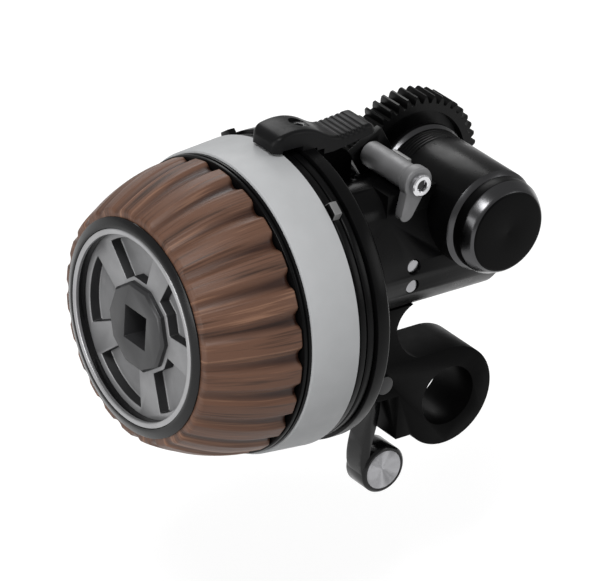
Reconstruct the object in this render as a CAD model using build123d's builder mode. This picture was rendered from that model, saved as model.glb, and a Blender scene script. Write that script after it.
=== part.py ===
"""Follow focus unit: fluted wooden handwheel, hard stops, right-angle gearbox, drive gear and rod clamp.

Millimetres.  The origin is the centre of the rod bore.  +Y runs along the rod towards the lens, +Z is up,
and the handwheel faces -X.  The handwheel turns about a line along X, wheel_height above the rod, and the
drive gear turns about a line along Y, straight above the rod.
"""

import os
from math import acos, atan, cos, pi, radians, sin, sqrt, tan

from build123d import *

# ---------------------------------------------------------------- fits
slip = 0.04  # radial running clearance of a shaft or a ring that turns
seat = 0.02  # clearance of a piece pressed or glued into its seat
side_gap = 0.3  # running gap between the faces of neighbouring moving pieces
ring_gap = 0.2  # gap between the thin stop rings
edge = 0.3  # small broken edge

# ---------------------------------------------------------------- gear train
wheel_height = 38.0  # handwheel axis above the rod axis
spur_module = 0.5
spur_teeth = 24
spur_width = 5.0
spur_room = 1.5  # air at each end of the spur gears
bevel_module = 0.75
bevel_teeth = 16
bevel_reach = 2.1  # length of the bevel teeth along their axis
bevel_hub = 2.4  # length of the boss behind the bevel teeth
drive_module = 0.8
drive_teeth = 45
drive_width = 7.0
drive_rim = 2.8  # radial depth of the toothed rim, below the pitch line
drive_recess = 2.0
gear_gap = 0.4  # between the drive gear and the collar
gear_backlash = 0.12  # width taken off each tooth at the pitch line
pressure_angle = radians(20)

# ---------------------------------------------------------------- handwheel
wheel_back = -51.0  # rear face of the marking band
band_width = 12.0
band_radius = 36.0  # the handwheel's largest radius; the rings behind it follow it
band_taper = 1.0  # radius lost from the band's rear edge to its front edge
band_wall = 3.0
drum_wall = 2.7
drum_proud = 0.4  # how far the drum stops short of the band's rear face
web_thickness = 3.0
rim_ring_width = 2.0
rim_ring_step = 0.6  # how far the rim ring stands inside the band's front edge
rim_groove = 0.5
grip_length = 21.3
grip_step = 0.4  # how far the grip stands inside the rim ring
grip_fall = 7.4  # radius lost from the grip's rear to its front
grip_bulge = 1.6  # how far the middle of the grip stands out from a plain cone
grip_wall = 1.7  # wood left at the grip's front
flute_count = 36
flute_radius = 1.3
flute_depth = 0.9
tube_wall = 2.15
tube_setback = 1.7  # the tube ends this far inside the grip's front face
tube_shoulder = 2.2
bezel_length = 2.8
bezel_lip = 0.4  # how far the bezel covers the grip's front face
bezel_wall = 3.45
trim_width = 1.37
trim_depth = 0.9
face_thickness = 4.0
face_rim = 2.7
spoke_count = 5
spoke_width = 5.2
spoke_angle = 51.0  # first spoke, from the top towards the lens side
pocket_depth = 2.8
pocket_hub = 3.4  # metal left between the socket and the pockets
socket_radius = 8.0
socket_length = 13.8
socket_proud = 1.6
socket_sides = 10  # sides of the socket's collar
socket_collar = 2.5  # how far the collar's corners stand out from the socket
socket_square = 8.1  # across the flats of the square drive hole
socket_depth = 11.0
magnet_radius = 3.5
magnet_length = 1.8
hub_wall = 3.0
grip_screw_count = 6
grip_screw_length = 9.0

# ---------------------------------------------------------------- shafts and bearings
wheel_shaft_radius = 4.0
small_shaft_radius = 3.0
lay_shaft_radius = 2.5
wheel_bearing_radius = 8.0
wheel_bearing_width = 5.0
small_bearing_radius = 6.5
small_bearing_width = 3.2
bearing_lip = 1.1  # radial depth of the shoulder that a bearing rests on
bush_radius = 4.0
bush_width = 3.5
clip_radius = 5.6
clip_width = 0.8

# ---------------------------------------------------------------- stops, pointer and back cover
wheel_gap = 0.6  # between the handwheel and the back cover
cover_length = 16.4
cover_web = 6.0
cover_boss = 2.5  # wall round the main bearing
cover_step = 0.8  # how far the cover's back stands out round the housing's flange
stop_ring_width = 1.9
stop_ring_step = 0.8  # how far the stop rings stand inside the band's rear edge
stop_ring_depth = 5.2
stop_lug_rise = 1.8
stop_lug_width = 4.6
stop_angle = 36.0  # where each stop stands, to either side of the top
dog_angle = 145.0  # where the handwheel's dog stands, from the top round the lens side
dog_width = 5.0
dog_thickness = 0.7
retainer_thickness = 0.5
retainer_lap = 1.0  # how far the retainer laps over the stop rings
retainer_depth = 3.2
pointer_ring_width = 3.7
pointer_ring_depth = 3.0
pointer_width = 9.6
pointer_cover = 3.7  # metal between the stop lugs' path and the top of the pointer
pointer_overhang = 2.6  # how far the pointer's tip reaches over the band
pointer_dip = 4.0
ramp_length = 10.6
ramp_rise = 0.9
ramp_setback = 6.1  # from the pointer ring to the foot of the thumb ramp

# ---------------------------------------------------------------- gearbox housing
flange_width = 3.5
flange_rim = 0.9  # metal outside the cover screws' heads
hull_wall = 1.6
hull_end = 9.8  # right end of the hull, under the barrel
hull_round = 1.6
cavity_gap = 0.5  # air round the spur gears
bearing_set = 10.2  # from the gear cavity to the far face of the handwheel shaft's inner bearing
bearing_cup = 3.3  # wall of the cups that hold the barrel's bearings
barrel_wall = 2.5
barrel_chamfer = 1.1
rib_count = 5
rib_pitch = 0.9
rib_groove = 0.45
collar_lip = 0.4
collar_chamfer = 1.6
collar_wall = 1.9
collar_reach = 2.6
cap_reach = 9.75  # how far the cap reaches into the barrel
cap_ring_step = 0.8
cap_ring_length = 3.1
cap_face_step = 1.6
cap_length = 5.9
side_screw_pitch = 5.0
side_screw_radius = 1.0
side_screw_head = 1.75
side_screw_depth = 1.5

# ---------------------------------------------------------------- drag lever
lever_bar_x = -18.3
lever_bar_radius = 3.1
lever_bar_length = 15.6
lever_bar_front = 5.9
lever_hub_radius = 3.9
lever_hub_width = 2.5
lever_tail = 9.0
lever_tail_width = 4.4
lever_tail_lean = 16.0
lever_screw_radius = 1.5
lever_screw_head = 2.6
bracket_thickness = 2.0
bracket_length = 10.0
bracket_height = 6.9
bracket_turn = 31.0
cradle_margin = 2.2

# ---------------------------------------------------------------- rod clamp
rod_radius = 7.5
clamp_wall = 5.1
clamp_width = 13.4
clamp_cheek = 7.1  # metal between the rod bore and the clamp's left face
clamp_foot = 7.6  # foot of the left face, below the rod axis
pivot_reach = 5.1  # cam pivot to the left of the clamp's left face
cam_pivot_z = 8.4
cam_pin_radius = 1.5
cam_pin_head = 2.3
ear_radius = 4.5
cam_rise = 0.6  # how far the cam pushes the shoe over its throw
cam_throw = 60.0
cam_radius = 3.9
shoe_radius = 2.9
lever_thickness = 2.6
lever_depth = 5.6
boss_radius = 6.0
boss_drop = 4.8  # boss centre below the foot of the clamp ring
boss_proud = 0.55  # how far the boss stands out from each side of the lever
disc_radius = 4.9
disc_thickness = 1.2
pad_depth = 1.5  # how deep the flat for the arm is cut into the hull
arm_width = 17.8
arm_neck = 2.1  # how far the neck stands to the left of the clamp
arm_under_rise = 2.4  # underside of the arm above the clamp ring
arm_screw_inset = 4.2
arm_screw_pitch = 6.0
arm_screw_depth = 6.0  # seat of the arm screws' heads, below the top of the arm
arm_screw_bite = 2.8  # length of the arm screws in the housing

# ---------------------------------------------------------------- fasteners
screw_radius = 1.25
screw_head_radius = 2.3
screw_head_height = 1.6
cover_screw_count = 4

os.makedirs("parts", exist_ok=True)

# Handwheel, worked out from the sizes above.
band_front = wheel_back - band_width
band_front_radius = band_radius - band_taper
ring_front = band_front - rim_ring_width
rim_ring_radius = band_front_radius - rim_ring_step
grip_front = ring_front - grip_length
grip_rear_radius = rim_ring_radius - grip_step
grip_front_radius = grip_rear_radius - grip_fall
grip_middle_radius = (grip_rear_radius + grip_front_radius) / 2 + grip_bulge
grip_bore = grip_front_radius - grip_wall
tube_front = grip_front + tube_setback
tube_radius = grip_bore - seat
tube_bore = tube_radius - tube_wall
bezel_front = tube_front - bezel_length
bezel_radius = grip_bore + bezel_lip
bezel_bore = tube_radius - bezel_wall
trim_radius = bezel_bore + trim_width
face_back = tube_front + face_thickness
pocket_outer_radius = tube_bore - face_rim
pocket_inner_radius = socket_radius + pocket_hub
socket_front = tube_front - socket_proud
socket_floor = socket_front + socket_depth
socket_back = socket_front + socket_length
hub_radius = socket_radius + hub_wall
web_front = ring_front - 1.0
web_back = band_front + web_thickness
drum_radius = band_radius - band_wall - seat
drum_bore = drum_radius - drum_wall
drum_back = wheel_back - drum_proud
grip_screw_circle = drum_bore - screw_head_radius - side_gap

# Stops, pointer and cover.
cover_front = wheel_back + wheel_gap
cover_back = cover_front + cover_length
cover_floor = cover_back - cover_web
cover_boss_radius = wheel_bearing_radius + cover_boss
stop_ring_radius = band_radius - stop_ring_step
stop_drum_radius = stop_ring_radius - stop_ring_depth
stop_lug_radius = stop_ring_radius + stop_lug_rise
retainer_radius = stop_drum_radius + retainer_lap
stop_a_front = cover_front + 0.1
stop_b_front = stop_a_front + stop_ring_width + ring_gap
rim_front = stop_b_front + stop_ring_width + ring_gap
pointer_ring_radius = band_radius
pointer_track_radius = pointer_ring_radius - pointer_ring_depth
pointer_front = rim_front + 0.1
pointer_back = pointer_front + pointer_ring_width
pointer_tip = wheel_back - pointer_overhang
pointer_waist = pointer_back + ramp_setback
pointer_end = pointer_waist + ramp_length
pointer_top = wheel_height + stop_lug_radius + side_gap + pointer_cover
cover_lip = pointer_back + side_gap

# Gears, housing and drag lever.
spur_centres = spur_module * spur_teeth
spur_tip = spur_module * (spur_teeth / 2 + 1)
drive_height = wheel_height + spur_centres
drive_radius = drive_module * drive_teeth / 2
bevel_radius = bevel_module * bevel_teeth / 2
bevel_tip = bevel_radius * tan(pi / 4 + atan(bevel_module / (bevel_radius * sqrt(2))))
cavity_length = spur_width + 2 * spur_room
cavity_back = cover_back + cavity_length
spur_front = cover_back + spur_room
wheel_bearing_back = cavity_back + bearing_set
barrel_bore = small_bearing_radius + bearing_cup
barrel_radius = barrel_bore + barrel_wall
barrel_front = bevel_radius + bevel_hub
collar_width = collar_lip + small_bearing_width
collar_front = barrel_front + collar_width
gear_near = collar_front + gear_gap
gear_far = gear_near + drive_width
cap_end = -bevel_tip - side_gap
barrel_back = cap_end - cap_reach
cap_ring_radius = barrel_radius - cap_ring_step
cap_face_radius = cap_ring_radius - cap_face_step
hull_radius = gear_near - side_gap
hull_top_radius = spur_tip + cavity_gap + hull_wall
cover_screw_circle = hull_radius + screw_head_radius + 2 * side_gap
flange_radius = cover_screw_circle + screw_head_radius + flange_rim
cover_back_radius = flange_radius + cover_step
front_bearing = cover_front + 0.4
inner_bearing = wheel_bearing_back - small_bearing_width
rear_bearing = cap_end - small_bearing_width - 0.2
collar_bearing = barrel_front + collar_lip
bar_height = drive_height + hull_top_radius + lever_bar_radius + side_gap
bar_back = lever_bar_front - lever_bar_length

# Rod clamp.
clamp_radius = rod_radius + clamp_wall
clamp_left = -rod_radius - clamp_cheek
cam_pivot_x = clamp_left - pivot_reach
lever_slot = lever_depth + 2 * side_gap
boss_x = clamp_left
boss_z = -clamp_radius - boss_drop
boss_half = lever_depth / 2 + boss_proud
arm_top = wheel_height - hull_radius + pad_depth
arm_left = cover_back + flange_width + side_gap
arm_right = arm_left + arm_width
arm_waist = clamp_left - arm_neck
arm_waist_height = arm_top - 5.7
arm_under = clamp_radius + arm_under_rise
arm_screws_x = (arm_left + arm_screw_inset, arm_left + arm_screw_inset + arm_screw_pitch)


def x_plane(x, height=wheel_height, y=0.0):
    """Plane across the X direction: sketch x is +Y and sketch y is +Z."""
    return Plane(origin=(x, y, height), x_dir=(0, 1, 0), z_dir=(1, 0, 0))


def y_plane(y, height=0.0, x=0.0):
    """Plane across the Y direction: sketch x is +X, sketch y is +Z and its normal is -Y."""
    return Plane(origin=(x, y, height), x_dir=(1, 0, 0), z_dir=(0, -1, 0))


def radial_plane(x, angle):
    """Plane across X at the handwheel axis, with sketch y pointing out at this angle from the top.

    A positive angle leans towards -Y, the way the right-hand rule turns about +X.
    """
    turn = radians(angle)
    return Plane(origin=(x, 0, wheel_height), x_dir=(0, cos(turn), sin(turn)), z_dir=(1, 0, 0))


def turn_about_x(outline, height=wheel_height, mode=Mode.ADD):
    """Revolve a closed outline of (x, radius) points about the X line at this height."""
    with BuildSketch(y_plane(0, height)) as section:
        with BuildLine():
            Polyline(*outline, close=True)
        make_face()
    revolve(section.sketch, axis=Axis((0, 0, height), (1, 0, 0)), mode=mode)


def turn_about_y(outline, height=drive_height, x=0.0, mode=Mode.ADD):
    """Revolve a closed outline of (y, radius) points about the Y line at this height."""
    with BuildSketch(Plane(origin=(x, 0, height), x_dir=(0, 1, 0), z_dir=(1, 0, 0))) as section:
        with BuildLine():
            Polyline(*outline, close=True)
        make_face()
    revolve(section.sketch, axis=Axis((x, 0, height), (0, 1, 0)), mode=mode)


def rod_along_x(start, end, radius, height=wheel_height, y=0.0, mode=Mode.ADD):
    """A round rod, or a bore, along X."""
    with BuildSketch(x_plane(start, height, y)) as section:
        Circle(radius)
    extrude(section.sketch, amount=end - start, mode=mode)


def rod_along_y(start, end, radius, height=drive_height, x=0.0, mode=Mode.ADD):
    """A round rod, or a bore, along Y."""
    with BuildSketch(y_plane(start, height, x)) as section:
        Circle(radius)
    extrude(section.sketch, amount=start - end, mode=mode)


def rod_along_z(start, end, radius, x, y=0.0, mode=Mode.ADD):
    """A round rod, or a bore, along Z."""
    with BuildSketch(Plane.XY.offset(start)) as section:
        with Locations((x, y)):
            Circle(radius)
    extrude(section.sketch, amount=end - start, mode=mode)


def ring_outline(start, end, inner, outer):
    """Closed outline of a plain ring."""
    return [(start, inner), (start, outer), (end, outer), (end, inner)]


def bearing_outline(start, width, inner, outer):
    """Closed outline of a shielded ball bearing: two races with the shields set back between them."""
    race = 0.3 * (outer - inner)
    dish = 0.08 * width
    end = start + width
    return [
        (start, inner),
        (start, inner + race),
        (start + dish, inner + race),
        (start + dish, outer - race),
        (start, outer - race),
        (start, outer),
        (end, outer),
        (end, outer - race),
        (end - dish, outer - race),
        (end - dish, inner + race),
        (end, inner + race),
        (end, inner),
    ]


def involute(angle):
    """Involute function of an angle in radians."""
    return tan(angle) - angle


def tooth_half_angle(radius, pitch_radius, teeth):
    """Half the angle that a tooth takes at this radius."""
    base_radius = pitch_radius * cos(pressure_angle)
    at_pitch = pi / (2 * teeth) - gear_backlash / (2 * pitch_radius)
    flank = acos(min(1.0, base_radius / radius))
    return at_pitch + involute(pressure_angle) - involute(flank)


def tooth_ring(side, teeth, first_tooth):
    """Corner points of a toothed wheel from one flank, given as (radius, half angle) from the root out."""
    points = []
    for tooth in range(teeth):
        middle = radians(first_tooth) + 2 * pi * tooth / teeth
        points += [(r * cos(middle - a), r * sin(middle - a)) for r, a in side]
        points += [(r * cos(middle + a), r * sin(middle + a)) for r, a in reversed(side)]
    return points


def gear_outline(teeth, module, first_tooth, flank_steps=3):
    """Corner points of an involute spur gear, with one tooth at the angle first_tooth, in degrees."""
    pitch_radius = module * teeth / 2
    tip = pitch_radius + module
    root = pitch_radius - 1.25 * module
    base = max(root + 0.01, pitch_radius * cos(pressure_angle))
    radii = [base + (tip - base) * i / flank_steps for i in range(flank_steps + 1)]
    halves = [tooth_half_angle(r, pitch_radius, teeth) for r in radii]
    return tooth_ring([(root, halves[0])] + list(zip(radii, halves)), teeth, first_tooth)


def bevel_outline(teeth, module, first_tooth, distance, flank_steps=2):
    """Corner points of a mitre bevel gear, cut square to its axis at this distance from the apex.

    Each flank is the involute of the wider gear that the tooth's back cone unrolls to.
    """
    pitch_radius = module * teeth / 2
    unrolled = pitch_radius * sqrt(2)
    tip = unrolled + module
    root = unrolled - 1.25 * module
    base = max(root + 0.01, unrolled * cos(pressure_angle))
    radii = [base + (tip - base) * i / flank_steps for i in range(flank_steps + 1)]
    halves = [sqrt(2) * tooth_half_angle(r, unrolled, teeth * sqrt(2)) for r in radii]
    cone = [distance * tan(pi / 4 + atan((r - unrolled) / unrolled)) for r in [root] + radii]
    return tooth_ring(list(zip(cone, [halves[0]] + halves)), teeth, first_tooth)


def screw_along_x(face, length, y, height):
    """A cap screw along +X: the head stands in front of the plane x = face."""
    with BuildSketch(x_plane(face, height, y)) as head:
        Circle(screw_head_radius)
        RegularPolygon(screw_radius, 6, mode=Mode.SUBTRACT)
    extrude(head.sketch, amount=-screw_head_height)
    rod_along_x(face - 0.4 * screw_head_height, face, screw_head_radius, height, y)
    rod_along_x(face, face + length, screw_radius, height, y)


def finish(part, name):
    """Label a finished piece and write its STEP file."""
    part.label = name
    export_step(part, f"parts/{name}.step")


def spots_on_circle(count, radius, first=0.0):
    """Evenly spaced (y, height) spots round the handwheel axis."""
    turns = [radians(first + 360 * k / count) for k in range(count)]
    return [(radius * sin(t), wheel_height + radius * cos(t)) for t in turns]


# ================================================================ handwheel
# One groove of the grip, cut by a round-nosed cutter that follows the barrel, about the X line through
# the origin.
flute_lift = flute_radius - flute_depth
with BuildPart() as flute_cutter:
    with BuildLine(y_plane(0)) as flute_path:
        ThreePointArc(
            (grip_front - 0.6, grip_front_radius + flute_lift),
            ((grip_front + ring_front) / 2, grip_middle_radius + flute_lift),
            (ring_front + 0.6, grip_rear_radius + flute_lift),
        )
    with BuildSketch(Plane(origin=flute_path.line @ 0, z_dir=flute_path.line % 0)):
        Circle(flute_radius)
    sweep()

# The turned wooden barrel, fluted all round.
with BuildPart() as wooden_grip:
    with BuildSketch(y_plane(0, wheel_height)):
        with BuildLine():
            ThreePointArc(
                (grip_front + 0.7, grip_front_radius + 0.8),
                ((grip_front + ring_front) / 2, grip_middle_radius),
                (ring_front - 0.5, grip_rear_radius),
            )
            Polyline(
                (ring_front - 0.5, grip_rear_radius),
                (ring_front, grip_rear_radius - 0.5),
                (ring_front, grip_bore),
                (grip_front, grip_bore),
                (grip_front, grip_front_radius),
                (grip_front + 0.7, grip_front_radius + 0.8),
            )
        make_face()
    revolve(axis=Axis((0, 0, wheel_height), (1, 0, 0)))
    turns = [360 * k / flute_count for k in range(flute_count)]
    with Locations(*[Location((0, 0, wheel_height), (turn, 0, 0)) for turn in turns]):
        add(flute_cutter.part, mode=Mode.SUBTRACT)
    for spot_y, spot_z in spots_on_circle(grip_screw_count, grip_screw_circle):
        hole_end = web_back + seat - grip_screw_length - seat
        rod_along_x(hole_end, ring_front, screw_radius + seat, spot_z, spot_y, Mode.SUBTRACT)
finish(wooden_grip.part, "wooden_grip")

with BuildPart() as front_bezel:
    turn_about_x(
        [
            (tube_front, bezel_bore),
            (tube_front, tube_radius),
            (grip_front - seat, tube_radius),
            (grip_front - seat, bezel_radius),
            (grip_front - 0.4, bezel_radius),
            (bezel_front, trim_radius + 0.5),
            (bezel_front, trim_radius + seat),
            (bezel_front + trim_depth, trim_radius + seat),
            (bezel_front + trim_depth, bezel_bore),
        ]
    )
finish(front_bezel.part, "front_bezel")

with BuildPart() as bezel_trim:
    turn_about_x(
        [
            (bezel_front + trim_depth - seat, bezel_bore),
            (bezel_front + 0.3, bezel_bore),
            (bezel_front - 0.1, bezel_bore + 0.4),
            (bezel_front - 0.1, trim_radius - 0.2),
            (bezel_front + 0.1, trim_radius),
            (bezel_front + trim_depth - seat, trim_radius),
        ]
    )
finish(bezel_trim.part, "bezel_trim")

# The star: five tapered spokes left standing between milled pockets.
with BuildPart() as spoke_face:
    rod_along_x(tube_front + seat, face_back, tube_bore - seat)
    with BuildSketch(x_plane(tube_front)):
        Circle(pocket_outer_radius)
        RegularPolygon(pocket_inner_radius, socket_sides, mode=Mode.SUBTRACT)
        with PolarLocations(0, spoke_count, 90 - spoke_angle):
            with Locations(((pocket_inner_radius + pocket_outer_radius) / 2, 0)):
                Trapezoid(
                    1.5 * spoke_width,
                    pocket_outer_radius - pocket_inner_radius + 3,
                    84,
                    rotation=90,
                    mode=Mode.SUBTRACT,
                )
    extrude(amount=pocket_depth, mode=Mode.SUBTRACT)
    rod_along_x(tube_front, face_back, socket_radius + seat, mode=Mode.SUBTRACT)
finish(spoke_face.part, "spoke_face")

# Square drive socket, with a many-sided collar in front of the face and a magnet at the bottom.
with BuildPart() as drive_socket:
    with BuildSketch(x_plane(socket_front)):
        RegularPolygon(socket_radius + socket_collar, socket_sides)
    extrude(amount=socket_proud)
    mouth = drive_socket.faces().sort_by(Axis.X)[0].outer_wire().edges()
    chamfer(mouth, 0.4 * socket_proud)
    rod_along_x(tube_front, socket_floor, socket_radius)
    with BuildSketch(x_plane(socket_front)):
        Rectangle(socket_square, socket_square)
    extrude(amount=socket_depth, mode=Mode.SUBTRACT)
    with BuildSketch(x_plane(socket_floor)):
        Circle(socket_radius)
        Circle(magnet_radius + seat, mode=Mode.SUBTRACT)
    extrude(amount=magnet_length + seat)
    rod_along_x(socket_floor + magnet_length, socket_back - seat, socket_radius)
finish(drive_socket.part, "drive_socket")

with BuildPart() as socket_magnet:
    rod_along_x(socket_floor, socket_floor + magnet_length - seat, magnet_radius)
finish(socket_magnet.part, "socket_magnet")

# Sleeve inside the grip, with a shoulder behind the face.
with BuildPart() as wheel_tube:
    turn_about_x(
        [
            (tube_front + seat, tube_radius),
            (tube_front + seat, tube_bore),
            (face_back + seat, tube_bore),
            (face_back + seat, tube_bore - tube_shoulder),
            (face_back + tube_shoulder, tube_bore - tube_shoulder),
            (face_back + 2 * tube_shoulder, tube_bore),
            (web_front - seat, tube_bore),
            (web_front - seat, tube_radius),
        ]
    )
finish(wheel_tube.part, "wheel_tube")

# The web, hub and drum that everything on the handwheel is fastened to.
with BuildPart() as wheel_core:
    turn_about_x(
        [
            (web_front, tube_radius),
            (web_front, hub_radius),
            (socket_floor, hub_radius),
            (socket_floor, socket_radius + seat),
            (socket_back, socket_radius + seat),
            (socket_back, wheel_shaft_radius + seat),
            (drum_back + 0.2, wheel_shaft_radius + seat),
            (drum_back + 0.2, hub_radius - 2),
            (web_back, hub_radius),
            (web_back, drum_bore),
            (drum_back, drum_bore),
            (drum_back, drum_radius),
            (band_front + seat, drum_radius),
            (band_front + seat, tube_radius),
        ]
    )
    for spot_y, spot_z in spots_on_circle(grip_screw_count, grip_screw_circle):
        rod_along_x(web_front - 1, web_back, screw_radius + seat, spot_z, spot_y, Mode.SUBTRACT)
finish(wheel_core.part, "wheel_core")

with BuildPart() as rim_ring:
    ring_middle = (ring_front + band_front) / 2
    turn_about_x(
        [
            (ring_front + seat, tube_radius + seat),
            (ring_front + seat, rim_ring_radius - 0.3),
            (ring_front + 0.3, rim_ring_radius),
            (ring_middle - 0.35, rim_ring_radius),
            (ring_middle, rim_ring_radius - rim_groove),
            (ring_middle + 0.35, rim_ring_radius),
            (band_front - 0.1, rim_ring_radius),
            (band_front - seat, rim_ring_radius - 0.2),
            (band_front - seat, tube_radius + seat),
        ]
    )
    for spot_y, spot_z in spots_on_circle(grip_screw_count, grip_screw_circle):
        rod_along_x(ring_front, band_front, screw_radius + seat, spot_z, spot_y, Mode.SUBTRACT)
finish(rim_ring.part, "rim_ring")

# White band to write marks on.  A notch at the back lets the dog lie flush.
with BuildPart() as marking_band:
    turn_about_x(
        [
            (band_front, drum_radius + seat),
            (band_front, band_front_radius - 0.3),
            (band_front + 0.4, band_front_radius),
            (wheel_back - 0.4, band_radius),
            (wheel_back, band_radius - 0.4),
            (wheel_back, drum_radius + seat),
        ]
    )
    with BuildSketch(radial_plane(drum_back, -dog_angle)):
        with Locations((0, band_radius - 1)):
            Rectangle(dog_width + 2 * side_gap, 6)
    extrude(amount=1.0, mode=Mode.SUBTRACT)
finish(marking_band.part, "marking_band")

# The dog that meets the stops: a foot on the drum and a finger that reaches over both stop rings.
with BuildPart() as stop_dog:
    with BuildSketch(radial_plane(drum_back + seat, -dog_angle)):
        with Locations((0, (retainer_radius + 0.3 + stop_lug_radius) / 2)):
            Rectangle(dog_width, stop_lug_radius - retainer_radius - 0.3)
    extrude(amount=dog_thickness)
    with BuildSketch(radial_plane(drum_back + seat, -dog_angle)):
        with Locations((0, (stop_ring_radius + side_gap + stop_lug_radius) / 2)):
            Rectangle(dog_width, stop_lug_radius - stop_ring_radius - side_gap)
    extrude(amount=rim_front - drum_back - 0.5)
finish(stop_dog.part, "stop_dog")

with BuildPart() as grip_screws:
    for spot_y, spot_z in spots_on_circle(grip_screw_count, grip_screw_circle):
        with BuildSketch(x_plane(web_back + seat, spot_z, spot_y)):
            Circle(screw_head_radius)
            RegularPolygon(screw_radius, 6, mode=Mode.SUBTRACT)
        extrude(amount=screw_head_height)
        rod_along_x(
            web_back + seat, web_back + 0.4 * screw_head_height, screw_head_radius, spot_z, spot_y
        )
        rod_along_x(
            web_back + seat - grip_screw_length, web_back + seat, screw_radius, spot_z, spot_y
        )
finish(grip_screws.part, "grip_screws")

wheel_shaft_end = wheel_bearing_back + 0.3
with BuildPart() as wheel_shaft:
    turn_about_x(
        [
            (socket_back + seat, 0),
            (socket_back + seat, wheel_shaft_radius - 0.4),
            (socket_back + 0.4, wheel_shaft_radius),
            (cavity_back, wheel_shaft_radius),
            (cavity_back, small_shaft_radius),
            (wheel_shaft_end - 0.3, small_shaft_radius),
            (wheel_shaft_end, small_shaft_radius - 0.3),
            (wheel_shaft_end, 0),
        ]
    )
finish(wheel_shaft.part, "wheel_shaft")

with BuildPart() as wheel_pinion:
    with BuildSketch(x_plane(spur_front)):
        Polygon(*gear_outline(spur_teeth, spur_module, 90), align=None)
        Circle(wheel_shaft_radius + seat, mode=Mode.SUBTRACT)
    extrude(amount=spur_width)
finish(wheel_pinion.part, "wheel_pinion")

with BuildPart() as shaft_clip:
    with BuildSketch(x_plane(spur_front + spur_width + seat)):
        Circle(clip_radius)
        Circle(wheel_shaft_radius + seat, mode=Mode.SUBTRACT)
        with Locations((0, -clip_radius)):
            Rectangle(1.1 * wheel_shaft_radius, clip_radius, mode=Mode.SUBTRACT)
    extrude(amount=clip_width)
finish(shaft_clip.part, "shaft_clip")

# ================================================================ stops, pointer and back cover
for stop_name, stop_front, stop_turn in (
    ("stop_ring_a", stop_a_front, stop_angle),
    ("stop_ring_b", stop_b_front, -stop_angle),
):
    with BuildPart() as stop_ring:
        turn_about_x(
            [
                (stop_front, stop_drum_radius + slip),
                (stop_front, stop_ring_radius - edge),
                (stop_front + edge, stop_ring_radius),
                (stop_front + stop_ring_width - edge, stop_ring_radius),
                (stop_front + stop_ring_width, stop_ring_radius - edge),
                (stop_front + stop_ring_width, stop_drum_radius + slip),
            ]
        )
        with BuildSketch(radial_plane(stop_front, stop_turn)):
            with Locations((0, (stop_ring_radius - 1.5 + stop_lug_radius) / 2)):
                Trapezoid(stop_lug_width, stop_lug_radius - stop_ring_radius + 1.5, 78)
        extrude(amount=stop_ring_width)
    finish(stop_ring.part, stop_name)

with BuildPart() as ring_retainer:
    turn_about_x(
        ring_outline(
            cover_front - retainer_thickness,
            cover_front - seat,
            retainer_radius - retainer_depth,
            retainer_radius,
        )
    )
finish(ring_retainer.part, "ring_retainer")

# Dished cover behind the handwheel: it carries the stop rings, the pointer ring and the main bearing.
with BuildPart() as back_cover:
    turn_about_x(
        [
            (cover_front, wheel_bearing_radius + seat),
            (front_bearing + wheel_bearing_width, wheel_bearing_radius + seat),
            (front_bearing + wheel_bearing_width, wheel_bearing_radius - 2.5),
            (cover_back, wheel_bearing_radius - 2.5),
            (cover_back, cover_back_radius),
            (cover_back - 3.2, cover_back_radius + 6.5),
            (cover_lip + 1.6, pointer_track_radius - 0.8),
            (cover_lip, pointer_ring_radius - 1.0),
            (cover_lip, pointer_track_radius),
            (rim_front, pointer_track_radius),
            (rim_front, stop_drum_radius),
            (cover_front, stop_drum_radius),
            (cover_front, stop_drum_radius - 2.5),
            (cover_floor, stop_drum_radius - 4.0),
            (cover_floor, cover_boss_radius + 1.0),
            (cover_front, cover_boss_radius),
        ]
    )
    rod_along_x(
        cover_back - bush_width - 0.1, cover_back, bush_radius + seat, drive_height, mode=Mode.SUBTRACT
    )
    for spot_y, spot_z in spots_on_circle(cover_screw_count, cover_screw_circle, 45):
        rod_along_x(cover_floor, cover_back, screw_radius + seat, spot_z, spot_y, Mode.SUBTRACT)
finish(back_cover.part, "back_cover")

with BuildPart() as cover_screws:
    for spot_y, spot_z in spots_on_circle(cover_screw_count, cover_screw_circle, 45):
        screw_along_x(cover_floor - seat, cover_web + flange_width - 0.6, spot_y, spot_z)
finish(cover_screws.part, "cover_screws")

with BuildPart() as pointer_ring:
    turn_about_x(
        [
            (pointer_front, pointer_track_radius + slip),
            (pointer_front, pointer_ring_radius - 0.4),
            (pointer_front + 0.4, pointer_ring_radius),
            (pointer_back - 0.7, pointer_ring_radius),
            (pointer_back, pointer_ring_radius - 0.7),
            (pointer_back, pointer_track_radius + slip),
        ]
    )
    rod_along_z(
        wheel_height + pointer_track_radius - 1,
        wheel_height + pointer_ring_radius + 1,
        screw_radius,
        (pointer_front + pointer_back) / 2,
        mode=Mode.SUBTRACT,
    )
finish(pointer_ring.part, "pointer_ring")

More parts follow.
